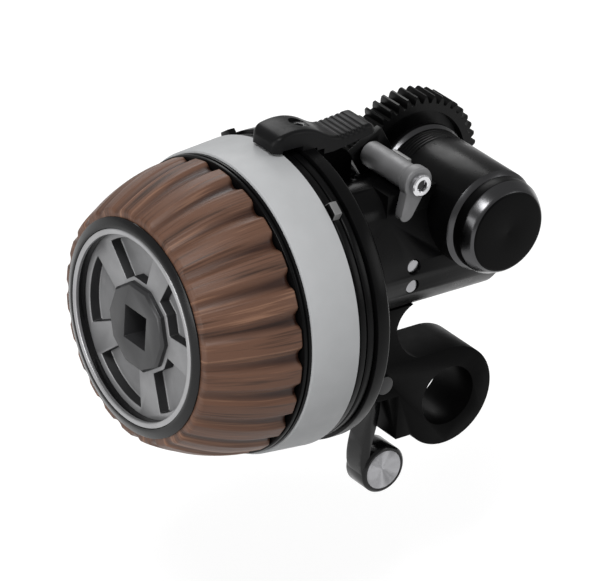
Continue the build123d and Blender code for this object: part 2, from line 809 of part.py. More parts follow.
# The pointer is a saddle: a bevelled tip over the band, a low waist, and a ribbed thumb ramp behind.
ramp_top = pointer_top - pointer_dip + ramp_rise
ramp_end = pointer_end - 1.6
pointer_slope = ramp_rise / (ramp_end - pointer_waist)
ring_top = wheel_height + pointer_ring_radius
tip_floor = wheel_height + band_radius + 2 * side_gap
with BuildPart() as pointer:
    with BuildSketch(y_plane(pointer_width / 2)):
        with BuildLine():
            Polyline(
                (pointer_tip, tip_floor),
                (pointer_tip - 0.4, (tip_floor + pointer_top) / 2),
                (pointer_tip + 2.2, pointer_top - 0.4),
            )
            Spline(
                (pointer_tip + 2.2, pointer_top - 0.4),
                (pointer_tip + 6.0, pointer_top),
                (pointer_waist, pointer_top - pointer_dip),
                tangents=((1, 0.2), (1, pointer_slope)),
            )
            Polyline(
                (pointer_waist, pointer_top - pointer_dip),
                (ramp_end, ramp_top),
                (pointer_end, ramp_top - 1.5),
                (pointer_end - 0.6, ring_top - 2.6),
                (pointer_back + 0.6, ring_top - 1.6),
                (pointer_back, ring_top - 0.6),
                (pointer_tip, ring_top - 0.6),
                (pointer_tip, tip_floor),
            )
        make_face()
    extrude(amount=pointer_width)
    for rib in range(5):
        rib_x = pointer_waist + 0.8 + 1.5 * rib
        rib_z = pointer_top - pointer_dip + pointer_slope * (rib_x - pointer_waist)
        rod_along_y(-pointer_width, pointer_width, 0.7, rib_z + 0.3, rib_x, Mode.SUBTRACT)
    with BuildSketch(Plane.XY.offset(wheel_height)):
        half = pointer_width / 2
        Polygon(
            (pointer_tip - 0.5, 1.4 - half),
            (pointer_tip + 1.2, -half),
            (pointer_end - 0.8, -half),
            (pointer_end + 0.1, 0.9 - half),
            (pointer_end + 0.1, half - 0.9),
            (pointer_end - 0.8, half),
            (pointer_tip + 1.2, half),
            (pointer_tip - 0.5, half - 1.4),
            align=None,
        )
    extrude(amount=pointer_top - wheel_height + 1, mode=Mode.INTERSECT)
    stop_clearance = stop_lug_radius + side_gap
    turn_about_x(
        ring_outline(wheel_back - 0.8, pointer_front - 0.1, 10, stop_clearance), mode=Mode.SUBTRACT
    )
    turn_about_x(
        ring_outline(pointer_tip - 3, wheel_back - 0.7, 10, band_radius + 2 * side_gap),
        mode=Mode.SUBTRACT,
    )
    turn_about_x(
        ring_outline(pointer_front - 0.2, pointer_back + 0.2, 10, pointer_ring_radius + seat),
        mode=Mode.SUBTRACT,
    )
    turn_about_x(
        ring_outline(pointer_back, cover_lip + 1.9, 10, pointer_ring_radius - 1 + side_gap),
        mode=Mode.SUBTRACT,
    )
    turn_about_x(ring_outline(pointer_back, 0, 10, pointer_track_radius + 1.0), mode=Mode.SUBTRACT)
    screw_x = (pointer_front + pointer_back) / 2
    rod_along_z(0, pointer_top + 1, screw_radius + seat, screw_x, mode=Mode.SUBTRACT)
    rod_along_z(
        pointer_top - 2.9, pointer_top + 1, screw_head_radius + 0.1, screw_x, mode=Mode.SUBTRACT
    )
finish(pointer.part, "pointer")

with BuildPart() as pointer_screw:
    head_floor = pointer_top - 2.9 + seat
    with BuildSketch(Plane.XY.offset(head_floor)):
        with Locations((screw_x, 0)):
            Circle(screw_head_radius)
            RegularPolygon(screw_radius, 6, mode=Mode.SUBTRACT)
    extrude(amount=0.9 * screw_head_height)
    rod_along_z(
        wheel_height + pointer_track_radius + 0.6, head_floor + 0.4, screw_radius - seat, screw_x
    )
finish(pointer_screw.part, "pointer_screw")

# ================================================================ gearbox
with BuildPart() as gear_housing:
    rod_along_x(cover_back + seat, cover_back + flange_width, flange_radius)
    with BuildSketch(x_plane(cover_back + seat)):
        Circle(hull_radius)
        with Locations((0, spur_centres)):
            Circle(hull_top_radius)
        make_hull()
    extrude(amount=-cover_back - barrel_bore)
    turn_about_x(
        [
            (cover_back + seat, 0),
            (cover_back + seat, hull_radius),
            (hull_end - hull_round, hull_radius),
            (hull_end - 0.3 * hull_round, hull_radius - 0.3 * hull_round),
            (hull_end, hull_radius - hull_round),
            (hull_end, 0),
        ]
    )
    turn_about_y(
        [
            (barrel_back, 0),
            (barrel_back, barrel_radius - barrel_chamfer),
            (barrel_back + barrel_chamfer, barrel_radius),
            (barrel_front, barrel_radius),
            (barrel_front, 0),
        ]
    )
    rod_along_y(barrel_front, hull_radius + 1, barrel_radius + seat, mode=Mode.SUBTRACT)
    # Cradle under the drag lever.
    cradle_left = lever_bar_x - lever_bar_radius - cradle_margin
    cradle_top = bar_height - lever_bar_radius - 2 * side_gap
    with BuildSketch(Plane.XY.offset(drive_height)):
        with Locations(((cradle_left - barrel_bore) / 2, (lever_bar_front + bar_back) / 2)):
            Rectangle(-barrel_bore - cradle_left, lever_bar_length - 3)
    extrude(amount=cradle_top - drive_height)
    # Fine ribs round the front of the barrel.
    for rib in range(rib_count):
        groove = barrel_front - 0.6 - rib_pitch * rib
        turn_about_y(
            [
                (groove - rib_groove, barrel_radius + 0.2),
                (groove - rib_groove, barrel_radius),
                (groove - rib_groove / 2, barrel_radius - rib_groove),
                (groove, barrel_radius),
                (groove, barrel_radius + 0.2),
            ],
            mode=Mode.SUBTRACT,
        )
    # Flat pad for the arm of the rod clamp.
    with BuildSketch(Plane.XY.offset(arm_top)):
        with Locations(((arm_left + arm_right) / 2, 0)):
            Rectangle(arm_right - arm_left + 0.4, clamp_width + 1)
    extrude(amount=-10, mode=Mode.SUBTRACT)
    # Bores and the spur gear cavity.
    with BuildSketch(x_plane(cover_back)):
        Circle(spur_tip + cavity_gap)
        with Locations((0, spur_centres)):
            Circle(spur_tip + cavity_gap)
        make_hull()
    extrude(amount=cavity_length, mode=Mode.SUBTRACT)
    rod_along_x(cover_back, wheel_bearing_back, small_bearing_radius + seat, mode=Mode.SUBTRACT)
    rod_along_x(
        wheel_bearing_back, wheel_bearing_back + 1, small_shaft_radius + 0.8, mode=Mode.SUBTRACT
    )
    rod_along_x(
        cavity_back,
        cavity_back + bush_width + seat,
        bush_radius + seat,
        drive_height,
        mode=Mode.SUBTRACT,
    )
    rod_along_x(cavity_back, 0, lay_shaft_radius + side_gap, drive_height, mode=Mode.SUBTRACT)
    rod_along_y(barrel_back - 1, barrel_front + 1, barrel_bore, mode=Mode.SUBTRACT)
    for spot_y, spot_z in spots_on_circle(cover_screw_count, cover_screw_circle, 45):
        rod_along_x(
            cover_back, cover_back + flange_width, screw_radius + seat, spot_z, spot_y, Mode.SUBTRACT
        )
    side_x = wheel_bearing_back - small_bearing_width / 2
    side_seat = side_screw_depth - hull_radius
    for side in (-0.5, 0.5):
        side_z = wheel_height + side_screw_pitch * side
        hole = side_screw_radius + seat
        rod_along_y(-hull_radius, -small_bearing_radius, hole, side_z, side_x, Mode.SUBTRACT)
        hole = side_screw_head + 0.1
        rod_along_y(-hull_radius - 1, side_seat, hole, side_z, side_x, Mode.SUBTRACT)
    for hole_x in arm_screws_x:
        hole_end = arm_top + arm_screw_bite + side_gap
        rod_along_z(arm_top, hole_end, screw_radius + seat, hole_x, mode=Mode.SUBTRACT)
finish(gear_housing.part, "gear_housing")

with BuildPart() as side_screws:
    for side in (-0.5, 0.5):
        side_z = wheel_height + side_screw_pitch * side
        rod_along_y(side_seat - seat, side_seat - 0.8, side_screw_head, side_z, side_x)
        rod_along_y(side_seat - seat, -small_bearing_radius - 0.7, side_screw_radius, side_z, side_x)
finish(side_screws.part, "side_screws")

for bearing_name, start, width, inner, outer in (
    ("wheel_bearing_front", front_bearing, wheel_bearing_width, wheel_shaft_radius, wheel_bearing_radius),
    ("wheel_bearing_inner", inner_bearing, small_bearing_width, small_shaft_radius, small_bearing_radius),
):
    with BuildPart() as bearing:
        turn_about_x(bearing_outline(start, width - seat, inner + slip, outer))
    finish(bearing.part, bearing_name)

with BuildPart() as lay_bushes:
    for start, end in (
        (cover_back - bush_width, cover_back),
        (cavity_back + seat, cavity_back + bush_width),
    ):
        turn_about_x(ring_outline(start, end, lay_shaft_radius + slip, bush_radius), drive_height)
finish(lay_bushes.part, "lay_bushes")

lay_end = -bevel_radius + bevel_reach - 0.3
with BuildPart() as lay_shaft:
    rod_along_x(cover_back - bush_width, lay_end, lay_shaft_radius, drive_height)
    chamfer(lay_shaft.edges(), 0.3)
finish(lay_shaft.part, "lay_shaft")

with BuildPart() as lay_gear:
    with BuildSketch(x_plane(spur_front, drive_height)):
        Polygon(*gear_outline(spur_teeth, spur_module, 270 + 180 / spur_teeth), align=None)
        Circle(lay_shaft_radius + seat, mode=Mode.SUBTRACT)
    extrude(amount=spur_width)
finish(lay_gear.part, "lay_gear")

# Mitre bevels.  The two cones share their apex where the shafts' lines cross.
with BuildPart() as lay_bevel:
    for distance in (bevel_radius, bevel_radius - bevel_reach):
        with BuildSketch(x_plane(-distance, drive_height)):
            Polygon(*bevel_outline(bevel_teeth, bevel_module, 0, distance), align=None)
    loft(ruled=True)
    rod_along_x(-bevel_radius - bevel_hub, -bevel_radius, 0.7 * bevel_radius, drive_height)
    rod_along_x(-bevel_radius - bevel_hub, 0, lay_shaft_radius + seat, drive_height, mode=Mode.SUBTRACT)
finish(lay_bevel.part, "lay_bevel")

with BuildPart() as drive_bevel:
    first = 180 + 180 / bevel_teeth
    for distance in (bevel_radius, bevel_radius - bevel_reach):
        with BuildSketch(y_plane(distance, drive_height)):
            Polygon(*bevel_outline(bevel_teeth, bevel_module, first, distance), align=None)
    loft(ruled=True)
    rod_along_y(bevel_radius, barrel_front - 0.3, 0.8 * bevel_radius)
    rod_along_y(0, barrel_front, small_shaft_radius + seat, mode=Mode.SUBTRACT)
finish(drive_bevel.part, "drive_bevel")

with BuildPart() as drive_shaft:
    rod_along_y(rear_bearing - 0.1, gear_far - 0.2, small_shaft_radius)
    chamfer(drive_shaft.edges(), 0.3)
    rod_along_y(gear_far - 7, gear_far, screw_radius + seat, mode=Mode.SUBTRACT)
finish(drive_shaft.part, "drive_shaft")

with BuildPart() as drive_bearings:
    for start in (rear_bearing, collar_bearing):
        turn_about_y(
            bearing_outline(
                start + seat, small_bearing_width - seat, small_shaft_radius + slip, small_bearing_radius
            )
        )
finish(drive_bearings.part, "drive_bearings")

with BuildPart() as front_collar:
    turn_about_y(
        [
            (barrel_front - collar_reach, barrel_bore - collar_wall),
            (barrel_front - collar_reach, barrel_bore - seat),
            (barrel_front + seat, barrel_bore - seat),
            (barrel_front + seat, barrel_radius),
            (collar_front - collar_chamfer, barrel_radius),
            (collar_front, barrel_radius - collar_chamfer),
            (collar_front, small_bearing_radius + seat),
            (collar_bearing, small_bearing_radius + seat),
            (collar_bearing, small_bearing_radius - bearing_lip),
            (barrel_front + seat, small_bearing_radius - bearing_lip),
            (barrel_front + seat, barrel_bore - collar_wall),
        ]
    )
finish(front_collar.part, "front_collar")

# The lens gear: 0.8 module, full involute flanks, with both faces relieved inside the toothed rim.
with BuildPart() as drive_gear:
    with BuildSketch(y_plane(gear_far, drive_height)):
        Polygon(*gear_outline(drive_teeth, drive_module, 90), align=None)
    extrude(amount=drive_width)
    rim_bore = drive_radius - drive_rim
    for start, end in ((gear_near, gear_near + drive_recess), (gear_far - drive_recess, gear_far)):
        turn_about_y(ring_outline(start, end, small_bearing_radius, rim_bore), mode=Mode.SUBTRACT)
    rod_along_y(gear_near, gear_far, small_shaft_radius + seat, mode=Mode.SUBTRACT)
finish(drive_gear.part, "drive_gear")

with BuildPart() as gear_washer:
    turn_about_y(
        ring_outline(gear_far + seat, gear_far + 0.8, screw_radius + 0.2, small_bearing_radius - bearing_lip)
    )
finish(gear_washer.part, "gear_washer")

with BuildPart() as gear_screw:
    with BuildSketch(y_plane(gear_far + 0.8 + seat, drive_height)):
        Circle(screw_head_radius + 0.6)
    extrude(amount=-screw_head_height)
    fillet(gear_screw.faces().sort_by(Axis.Y)[-1].edges(), 0.6)
    with BuildSketch(y_plane(gear_far + 0.8 + screw_head_height, drive_height)):
        RegularPolygon(screw_radius, 6)
    extrude(amount=0.7 * screw_head_height, mode=Mode.SUBTRACT)
    rod_along_y(gear_far - 6, gear_far + 0.8 + seat, screw_radius)
finish(gear_screw.part, "gear_screw")

# Screwed cap that closes the barrel and carries the rear bearing.
cap_back = barrel_back - cap_length
cap_step = barrel_back - cap_ring_length
with BuildPart() as end_cap:
    turn_about_y(
        [
            (cap_end, small_bearing_radius + seat),
            (cap_end, barrel_bore - seat),
            (barrel_back - seat, barrel_bore - seat),
            (barrel_back - seat, cap_ring_radius),
            (cap_step + 0.3, cap_ring_radius),
            (cap_step, cap_ring_radius - 0.3),
            (cap_back + 0.7, cap_face_radius + 0.3),
            (cap_back, cap_face_radius - 0.5),
            (cap_back, 0),
            (rear_bearing - 3.2, 0),
            (rear_bearing - 3.2, small_bearing_radius - bearing_lip),
            (rear_bearing, small_bearing_radius - bearing_lip),
            (rear_bearing, small_bearing_radius + seat),
        ]
    )
finish(end_cap.part, "end_cap")

# ================================================================ drag lever
with BuildPart() as drag_lever:
    rod_along_y(bar_back, lever_bar_front, lever_bar_radius, bar_height, lever_bar_x)
    with BuildSketch(y_plane((bar_back + lever_bar_front) / 2 + 3, bar_height, lever_bar_x)):
        with Locations((lever_bar_radius - 0.2, 0.6)):
            Rectangle(1.1, 1.6)
    extrude(amount=6)
    with BuildSketch(y_plane(bar_back, bar_height, lever_bar_x)):
        Circle(lever_hub_radius)
        with Locations(Location((0, 0), -lever_tail_lean)):
            with Locations((0, -lever_tail / 2)):
                Trapezoid(lever_tail_width + 1.4, lever_tail, 82)
            with Locations((0, -lever_tail)):
                Circle(lever_tail_width / 2 - 0.7)
    extrude(amount=lever_hub_width)
    rod_along_y(
        bar_back - lever_hub_width - 1,
        lever_bar_front + 1,
        lever_screw_radius + slip,
        bar_height,
        lever_bar_x,
        Mode.SUBTRACT,
    )
finish(drag_lever.part, "drag_lever")

lever_face = bar_back - lever_hub_width
with BuildPart() as lever_screw:
    with BuildSketch(y_plane(lever_face - side_gap / 2, bar_height, lever_bar_x)):
        Circle(lever_screw_head)
    extrude(amount=1.3)
    with BuildSketch(y_plane(lever_face - side_gap / 2 - 0.7, bar_height, lever_bar_x)):
        Rectangle(2.2 * lever_screw_head, 0.9, rotation=bracket_turn + 9)
    extrude(amount=1, mode=Mode.SUBTRACT)
    rod_along_y(
        lever_face - side_gap / 2,
        lever_bar_front + bracket_thickness,
        lever_screw_radius,
        bar_height,
        lever_bar_x,
    )
finish(lever_screw.part, "lever_screw")

# Square-cornered plate that holds the far end of the drag lever's screw.
with BuildPart() as lever_bracket:
    with BuildSketch(y_plane(lever_bar_front + side_gap, bar_height, lever_bar_x)):
        with Locations(Location((0, 0), bracket_turn)):
            with Locations((0.5, -0.4)):
                Rectangle(bracket_length, bracket_height)
        Circle(lever_screw_radius + seat, mode=Mode.SUBTRACT)
    extrude(amount=-bracket_thickness)
finish(lever_bracket.part, "lever_bracket")

# ================================================================ rod clamp
# Arm, fixed ring and the two ears of the cam, in one casting.
shoulder_x = -clamp_radius / 2
shoulder_z = clamp_radius - 0.8
slot_reach = pivot_reach + ear_radius + 2
with BuildPart() as clamp_body:
    with BuildSketch(y_plane(clamp_width / 2)):
        Circle(clamp_radius)
        Polygon(
            (clamp_left, -clamp_foot),
            (clamp_left + 4, -clamp_foot),
            (0, 0),
            (0, clamp_radius),
            (clamp_left, clamp_radius),
            align=None,
        )
        with BuildLine():
            Polyline(
                (shoulder_x, shoulder_z),
                (shoulder_x, cam_pivot_z),
                (arm_waist, cam_pivot_z),
                (arm_waist, arm_under - 3),
                (arm_left + 5.6, arm_under),
                (arm_left, arm_top - 5.2),
                (arm_left, arm_top - seat),
                (arm_right, arm_top - seat),
            )
            ThreePointArc(
                (arm_right, arm_top - seat),
                (arm_waist + 0.3 * (arm_right - arm_waist), 0.6 * arm_top + 0.4 * arm_waist_height),
                (arm_waist, arm_waist_height),
            )
            ThreePointArc(
                (arm_waist, arm_waist_height),
                (0.79 * arm_waist + 0.21 * shoulder_x, 0.45 * arm_waist_height + 0.55 * shoulder_z),
                (shoulder_x, shoulder_z),
            )
        make_face()
    extrude(amount=clamp_width)
    with BuildSketch(y_plane(clamp_width / 2)):
        with Locations((cam_pivot_x, cam_pivot_z)):
            Circle(ear_radius)
        with Locations((clamp_left, cam_pivot_z)):
            Rectangle(1, 2 * ear_radius)
        make_hull()
    extrude(amount=clamp_width)
    # Slot for the cam lever, rod bore, shoe bore and pin holes.
    with BuildSketch(y_plane(lever_slot / 2)):
        with Locations((clamp_left - 0.2 - slot_reach / 2, cam_pivot_z - ear_radius)):
            Rectangle(slot_reach, 4 * ear_radius)
    extrude(amount=lever_slot, mode=Mode.SUBTRACT)
    rod_along_y(-clamp_width, clamp_width, rod_radius, 0, mode=Mode.SUBTRACT)
    with BuildSketch(
        Plane(origin=(0, 0, 0), x_dir=(0, 1, 0), z_dir=(cam_pivot_x, 0, cam_pivot_z))
    ):
        Circle(shoe_radius + slip)
    extrude(amount=-cam_pivot_x, mode=Mode.SUBTRACT)
    rod_along_y(
        -clamp_width, clamp_width, cam_pin_radius + seat, cam_pivot_z, cam_pivot_x, Mode.SUBTRACT
    )
    for hole_x in arm_screws_x:
        rod_along_z(clamp_radius, arm_top + 1, screw_radius + seat, hole_x, mode=Mode.SUBTRACT)
        head_seat = arm_top - arm_screw_depth
        rod_along_z(clamp_radius, head_seat, screw_head_radius + 0.2, hole_x, mode=Mode.SUBTRACT)
finish(clamp_body.part, "clamp_body")

with BuildPart() as arm_screws:
    for hole_x in arm_screws_x:
        with BuildSketch(Plane.XY.offset(head_seat - seat)):
            with Locations((hole_x, 0)):
                Circle(screw_head_radius)
                RegularPolygon(screw_radius, 6, mode=Mode.SUBTRACT)
        extrude(amount=-screw_head_height)
        socket_end = head_seat - 0.4 * screw_head_height
        rod_along_z(socket_end, head_seat - seat, screw_head_radius, hole_x)
        rod_along_z(head_seat - seat, arm_top + arm_screw_bite, screw_radius, hole_x)
finish(arm_screws.part, "arm_screws")

# Brass shoe that the cam pushes against the rod.
pivot_distance = sqrt(cam_pivot_x**2 + cam_pivot_z**2)
shoe_end = pivot_distance - cam_radius - cam_rise - slip
with BuildPart() as clamp_shoe:
    with BuildSketch(
        Plane(origin=(0, 0, 0), x_dir=(0, 1, 0), z_dir=(cam_pivot_x, 0, cam_pivot_z))
    ):
        Circle(shoe_radius)
    extrude(amount=shoe_end)
    rod_along_y(-clamp_width, clamp_width, rod_radius, 0, mode=Mode.SUBTRACT)
finish(clamp_shoe.part, "clamp_shoe")

# Cam lever: the cam falls away evenly over the throw, so the shoe follows the lever in step.
shoe_bearing = atan(cam_pivot_z / cam_pivot_x)
cam_steps = 12
cam_lead = radians(12)
cam_points = []
for step in range(cam_steps + 1):
    swing = -cam_lead + (radians(cam_throw) + 2 * cam_lead) * step / cam_steps
    reach = cam_radius + cam_rise * (1 - swing / radians(cam_throw))
    reach = min(reach, cam_radius + cam_rise)
    angle = shoe_bearing + swing
    cam_points.append((cam_pivot_x + reach * cos(angle), cam_pivot_z + reach * sin(angle)))
with BuildPart() as cam_lever:
    with BuildSketch(y_plane(lever_depth / 2)):
        with Locations((cam_pivot_x, cam_pivot_z)):
            Circle(cam_radius - 0.2)
        Polygon((cam_pivot_x, cam_pivot_z), *cam_points, align=None)
        with BuildLine():
            Spline(
                (cam_pivot_x - 1.2, cam_pivot_z - 1.0),
                (cam_pivot_x + 1.0, (cam_pivot_z + boss_z) / 2 - 0.7),
                (boss_x - boss_radius + 0.6, boss_z + 4.5),
                (boss_x - boss_radius + lever_thickness / 2, boss_z),
            )
        trace(line_width=lever_thickness)
    extrude(amount=lever_depth)
    rod_along_y(-boss_half, boss_half, boss_radius, boss_z, boss_x)
    chamfer(cam_lever.faces().sort_by(Axis.Y)[0].edges(), 0.5)
    disc_seat = disc_thickness - boss_half
    rod_along_y(-boss_half, disc_seat, disc_radius + seat, boss_z, boss_x, Mode.SUBTRACT)
    rod_along_y(
        -clamp_width, clamp_width, cam_pin_radius + slip, cam_pivot_z, cam_pivot_x, Mode.SUBTRACT
    )
finish(cam_lever.part, "cam_lever")

with BuildPart() as lever_disc:
    turn_about_y(
        [
            (disc_seat - seat, 0),
            (disc_seat - seat, disc_radius),
            (0.1 - boss_half, disc_radius),
            (-boss_half - 0.1, disc_radius - edge),
            (0.7 - boss_half, 0.9),
            (0.7 - boss_half, 0),
        ],
        boss_z,
        boss_x,
    )
finish(lever_disc.part, "lever_disc")

with BuildPart() as cam_pin:
    rod_along_y(-clamp_width / 2 - 0.1, clamp_width / 2 - 0.2, cam_pin_radius, cam_pivot_z, cam_pivot_x)
    rod_along_y(-clamp_width / 2 - 0.9, -clamp_width / 2 - seat, cam_pin_head, cam_pivot_z, cam_pivot_x)
finish(cam_pin.part, "cam_pin")
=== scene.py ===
"""Dresses the follow focus unit: finishes, turned and fluted surfaces, studio and camera."""

import logging
import math
from dataclasses import dataclass
from enum import Enum
from typing import Callable, Sequence

import bmesh
import bpy
from mathutils import Matrix, Vector
from mathutils.bvhtree import BVHTree


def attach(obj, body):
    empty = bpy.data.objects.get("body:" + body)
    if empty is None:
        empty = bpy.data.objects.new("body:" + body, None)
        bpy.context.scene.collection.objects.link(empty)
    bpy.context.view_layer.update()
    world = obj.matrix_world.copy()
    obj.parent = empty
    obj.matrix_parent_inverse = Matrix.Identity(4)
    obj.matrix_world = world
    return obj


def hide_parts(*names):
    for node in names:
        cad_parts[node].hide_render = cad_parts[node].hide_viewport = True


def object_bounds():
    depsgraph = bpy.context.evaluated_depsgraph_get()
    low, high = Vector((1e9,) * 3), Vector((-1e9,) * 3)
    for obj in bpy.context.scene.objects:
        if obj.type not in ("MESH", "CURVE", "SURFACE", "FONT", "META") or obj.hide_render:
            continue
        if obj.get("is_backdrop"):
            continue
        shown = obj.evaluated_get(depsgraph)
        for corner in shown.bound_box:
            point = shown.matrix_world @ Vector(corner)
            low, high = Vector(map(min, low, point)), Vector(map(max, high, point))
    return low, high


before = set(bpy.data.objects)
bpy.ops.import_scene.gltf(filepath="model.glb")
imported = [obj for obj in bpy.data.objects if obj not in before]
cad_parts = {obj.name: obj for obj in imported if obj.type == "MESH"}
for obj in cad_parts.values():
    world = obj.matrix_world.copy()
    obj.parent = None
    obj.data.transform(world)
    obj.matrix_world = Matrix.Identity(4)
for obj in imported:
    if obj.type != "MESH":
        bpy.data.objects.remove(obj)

log = logging.getLogger("follow_focus")

Node = bpy.types.Node
Mesh = bpy.types.Mesh
Object = bpy.types.Object
Material = bpy.types.Material
Face = bpy.types.MeshPolygon
Chooser = Callable[[Face], bool]
Point = tuple[float, float]
Spot = tuple[float, float, float]
Colour = tuple[float, float, float]

MM = 0.001
WHEEL_HEIGHT = 38.0
WHEEL_AXIS: Spot = (0.0, 0.0, WHEEL_HEIGHT)


class Turning(Enum):
    """The line that a turned piece is round about."""

    WHEEL = "x"
    DRIVE = "y"


def to_linear(colour: Colour) -> tuple[float, float, float, float]:
    """Turn a display colour into the linear colour that the shaders take.

    Args:
        colour: red, green and blue from 0 to 1, as seen on a screen.

    Returns:
        The linear colour with an alpha of 1.
    """
    linear = [c / 12.92 if c <= 0.04045 else ((c + 0.055) / 1.055) ** 2.4 for c in colour]
    return (linear[0], linear[1], linear[2], 1.0)


class ShaderTree:
    """Short-hand for building the node tree of one material."""

    def __init__(self, material: Material) -> None:
        """Empty the material's tree and put in the output and the main shader."""
        material.use_nodes = True
        self.tree = material.node_tree
        self.tree.nodes.clear()
        output = self.add("OutputMaterial")
        self.shader = self.add("BsdfPrincipled")
        self.join(self.shader, "BSDF", output, "Surface")
        self.place = self.add("TexCoord")
        self.spot: tuple[Node, str] = (self.place, "Object")

    def add(self, kind: str, values: dict | None = None, **settings: object) -> Node:
        """Add a node.

        Args:
            kind: the node's type, without the ShaderNode that every type starts with.
            values: input values by socket name or number.
            **settings: properties of the node itself.

        Returns:
            The new node.
        """
        node = self.tree.nodes.new("ShaderNode" + kind)
        for key, value in settings.items():
            setattr(node, key, value)
        for key, value in (values or {}).items():
            node.inputs[key].default_value = value
        return node

    def join(self, source: Node, out: str | int, target: Node, into: str | int) -> None:
        """Link one node's output to another node's input."""
        self.tree.links.new(source.outputs[out], target.inputs[into])

    def after(
        self, source: Node, out: str | int, kind: str, into: str | int, values: dict | None = None,
        **settings: object,
    ) -> Node:
        """Add a node, as add does, and link another node's output to one of its inputs."""
        node = self.add(kind, values, **settings)
        self.join(source, out, node, into)
        return node

    def give(self, values: dict[str, object]) -> None:
        """Set inputs of the main shader by name."""
        for key, value in values.items():
            self.shader.inputs[key].default_value = value

    def seen_from(self, centre: Sequence[float]) -> tuple[Node, Node]:
        """The place measured from a centre in millimetres, as a vector and as three numbers."""
        values = {"Location": tuple(-c * MM for c in centre)}
        shift = self.after(self.place, "Object", "Mapping", "Vector", values)
        return shift, self.after(shift, "Vector", "SeparateXYZ", "Vector")

    def noise(self, size_mm: float | Sequence[float], detail: float) -> Node:
        """Noise whose features are about this large.

        Args:
            size_mm: the size of a feature, or one size for each axis.
            detail: octaves of finer detail.

        Returns:
            The noise node.
        """
        sizes = (size_mm,) * 3 if isinstance(size_mm, (int, float)) else size_mm
        values = {"Scale": tuple(1 / (s * MM) for s in sizes)}
        mapping = self.after(*self.spot, "Mapping", "Vector", values)
        values = {"Scale": 1.0, "Detail": detail, "Roughness": 0.5}
        return self.after(mapping, "Vector", "TexNoise", "Vector", values)

    def ramp(self, source: Node, out: str, stops: Sequence[tuple[float, Colour]]) -> Node:
        """Colour ramp with these stops, fed by a node's output."""
        ramp = self.after(source, out, "ValToRGB", "Fac")
        elements = ramp.color_ramp.elements
        elements.remove(elements[1])
        elements[0].position, elements[0].color = stops[0][0], to_linear(stops[0][1])
        for position, colour in stops[1:]:
            elements.new(position).color = to_linear(colour)
        return ramp

    def roughen(self, noise: Node, low: float, high: float) -> None:
        """Let a noise vary the main shader's roughness from low to high."""
        values = {"From Min": 0.3, "From Max": 0.7, "To Min": low, "To Max": high}
        spread = self.after(noise, "Fac", "MapRange", "Value", values)
        self.join(spread, "Result", self.shader, "Roughness")

    def bump(self, source: Node, out: str | int, height_mm: float, below: Node | None = None) -> Node:
        """Raise the surface by a texture.

        Args:
            source: the node that gives the height.
            out: its output.
            height_mm: the height that a value of 1 stands for.
            below: an earlier bump to add to.

        Returns:
            The bump node, linked to the main shader.
        """
        values = {"Strength": 1.0, "Distance": height_mm * MM}
        bump = self.after(source, out, "Bump", "Height", values)
        if below is not None:
            self.join(below, "Normal", bump, "Normal")
        self.join(bump, "Normal", self.shader, "Normal")
        return bump

    def maths(self, operation: str, *sides: object) -> Node:
        """A math node; each side is a number, a node or a pair of a node and its output."""
        node = self.add("Math", operation=operation)
        for index, side in enumerate(sides):
            if isinstance(side, (int, float)):
                node.inputs[index].default_value = side
            else:
                source, out = side if isinstance(side, tuple) else (side, 0)
                self.join(source, out, node, index)
        return node


@dataclass(frozen=True)
class Finish:
    """A plain finish: a colour with slight patches, and a fine grain."""

    name: str
    slot: str
    colour: Colour
    roughness: float
    metallic: float = 0.0
    specular: float = 0.5
    patches: float = 0.06
    patch_mm: float = 5.0
    grain_mm: float = 0.18
    grain_height: float = 0.006

    def material(self) -> Material:
        """The finish's material, made once."""
        known = bpy.data.materials.get(self.name)
        if known is not None:
            return known
        material = bpy.data.materials.new(self.name)
        self.shade(ShaderTree(material))
        material.diffuse_color = to_linear(self.colour)
        return material

    def shade(self, tree: ShaderTree) -> None:
        """Build the node tree."""
        tree.give({"Metallic": self.metallic, "Specular IOR Level": self.specular})
        darker, lighter = (tuple(c * (1 + k) for c in self.colour) for k in (-self.patches, self.patches))
        ramp = tree.ramp(tree.noise(self.patch_mm, 5.0), "Fac", [(0.3, darker), (0.7, lighter)])
        tree.join(ramp, "Color", tree.shader, "Base Color")
        tree.roughen(tree.noise(self.patch_mm * 0.6, 4.0), self.roughness * 0.88, self.roughness * 1.12)
        tree.bump(tree.noise(self.grain_mm, 2.0), "Fac", self.grain_height)


@dataclass(frozen=True)
class TurnedFinish(Finish):
    """A lathe-turned metal, with fine rings about the piece's own axis."""

    turning: Turning = Turning.WHEEL
    centre: Spot = (0.0, 0.0, 0.0)
    ring_mm: float = 0.35
    ring_height: float = 0.004
    drawn: float = 0.97

    def shade(self, tree: ShaderTree) -> None:
        """Build the node tree, with the rings on top of the grain."""
        super().shade(tree)
        shift, apart = tree.seen_from(self.centre)
        sideways = (apart, "Y" if self.turning is Turning.WHEEL else "X")
        across = tree.maths("MULTIPLY", sideways, sideways)
        upward = tree.maths("MULTIPLY", (apart, "Z"), (apart, "Z"))
        radius = tree.maths("SQRT", tree.maths("ADD", across, upward))
        turns = tree.maths("MULTIPLY", radius, 2 * math.pi / (self.ring_mm * MM))
        grain = next(n for n in tree.tree.nodes if n.bl_idname == "ShaderNodeBump")
        tree.bump(tree.maths("SINE", turns), 0, self.ring_height, grain)
        tree.join(shift, "Vector", tree.shader, "Tangent")
        tree.give({"Anisotropic": self.drawn})


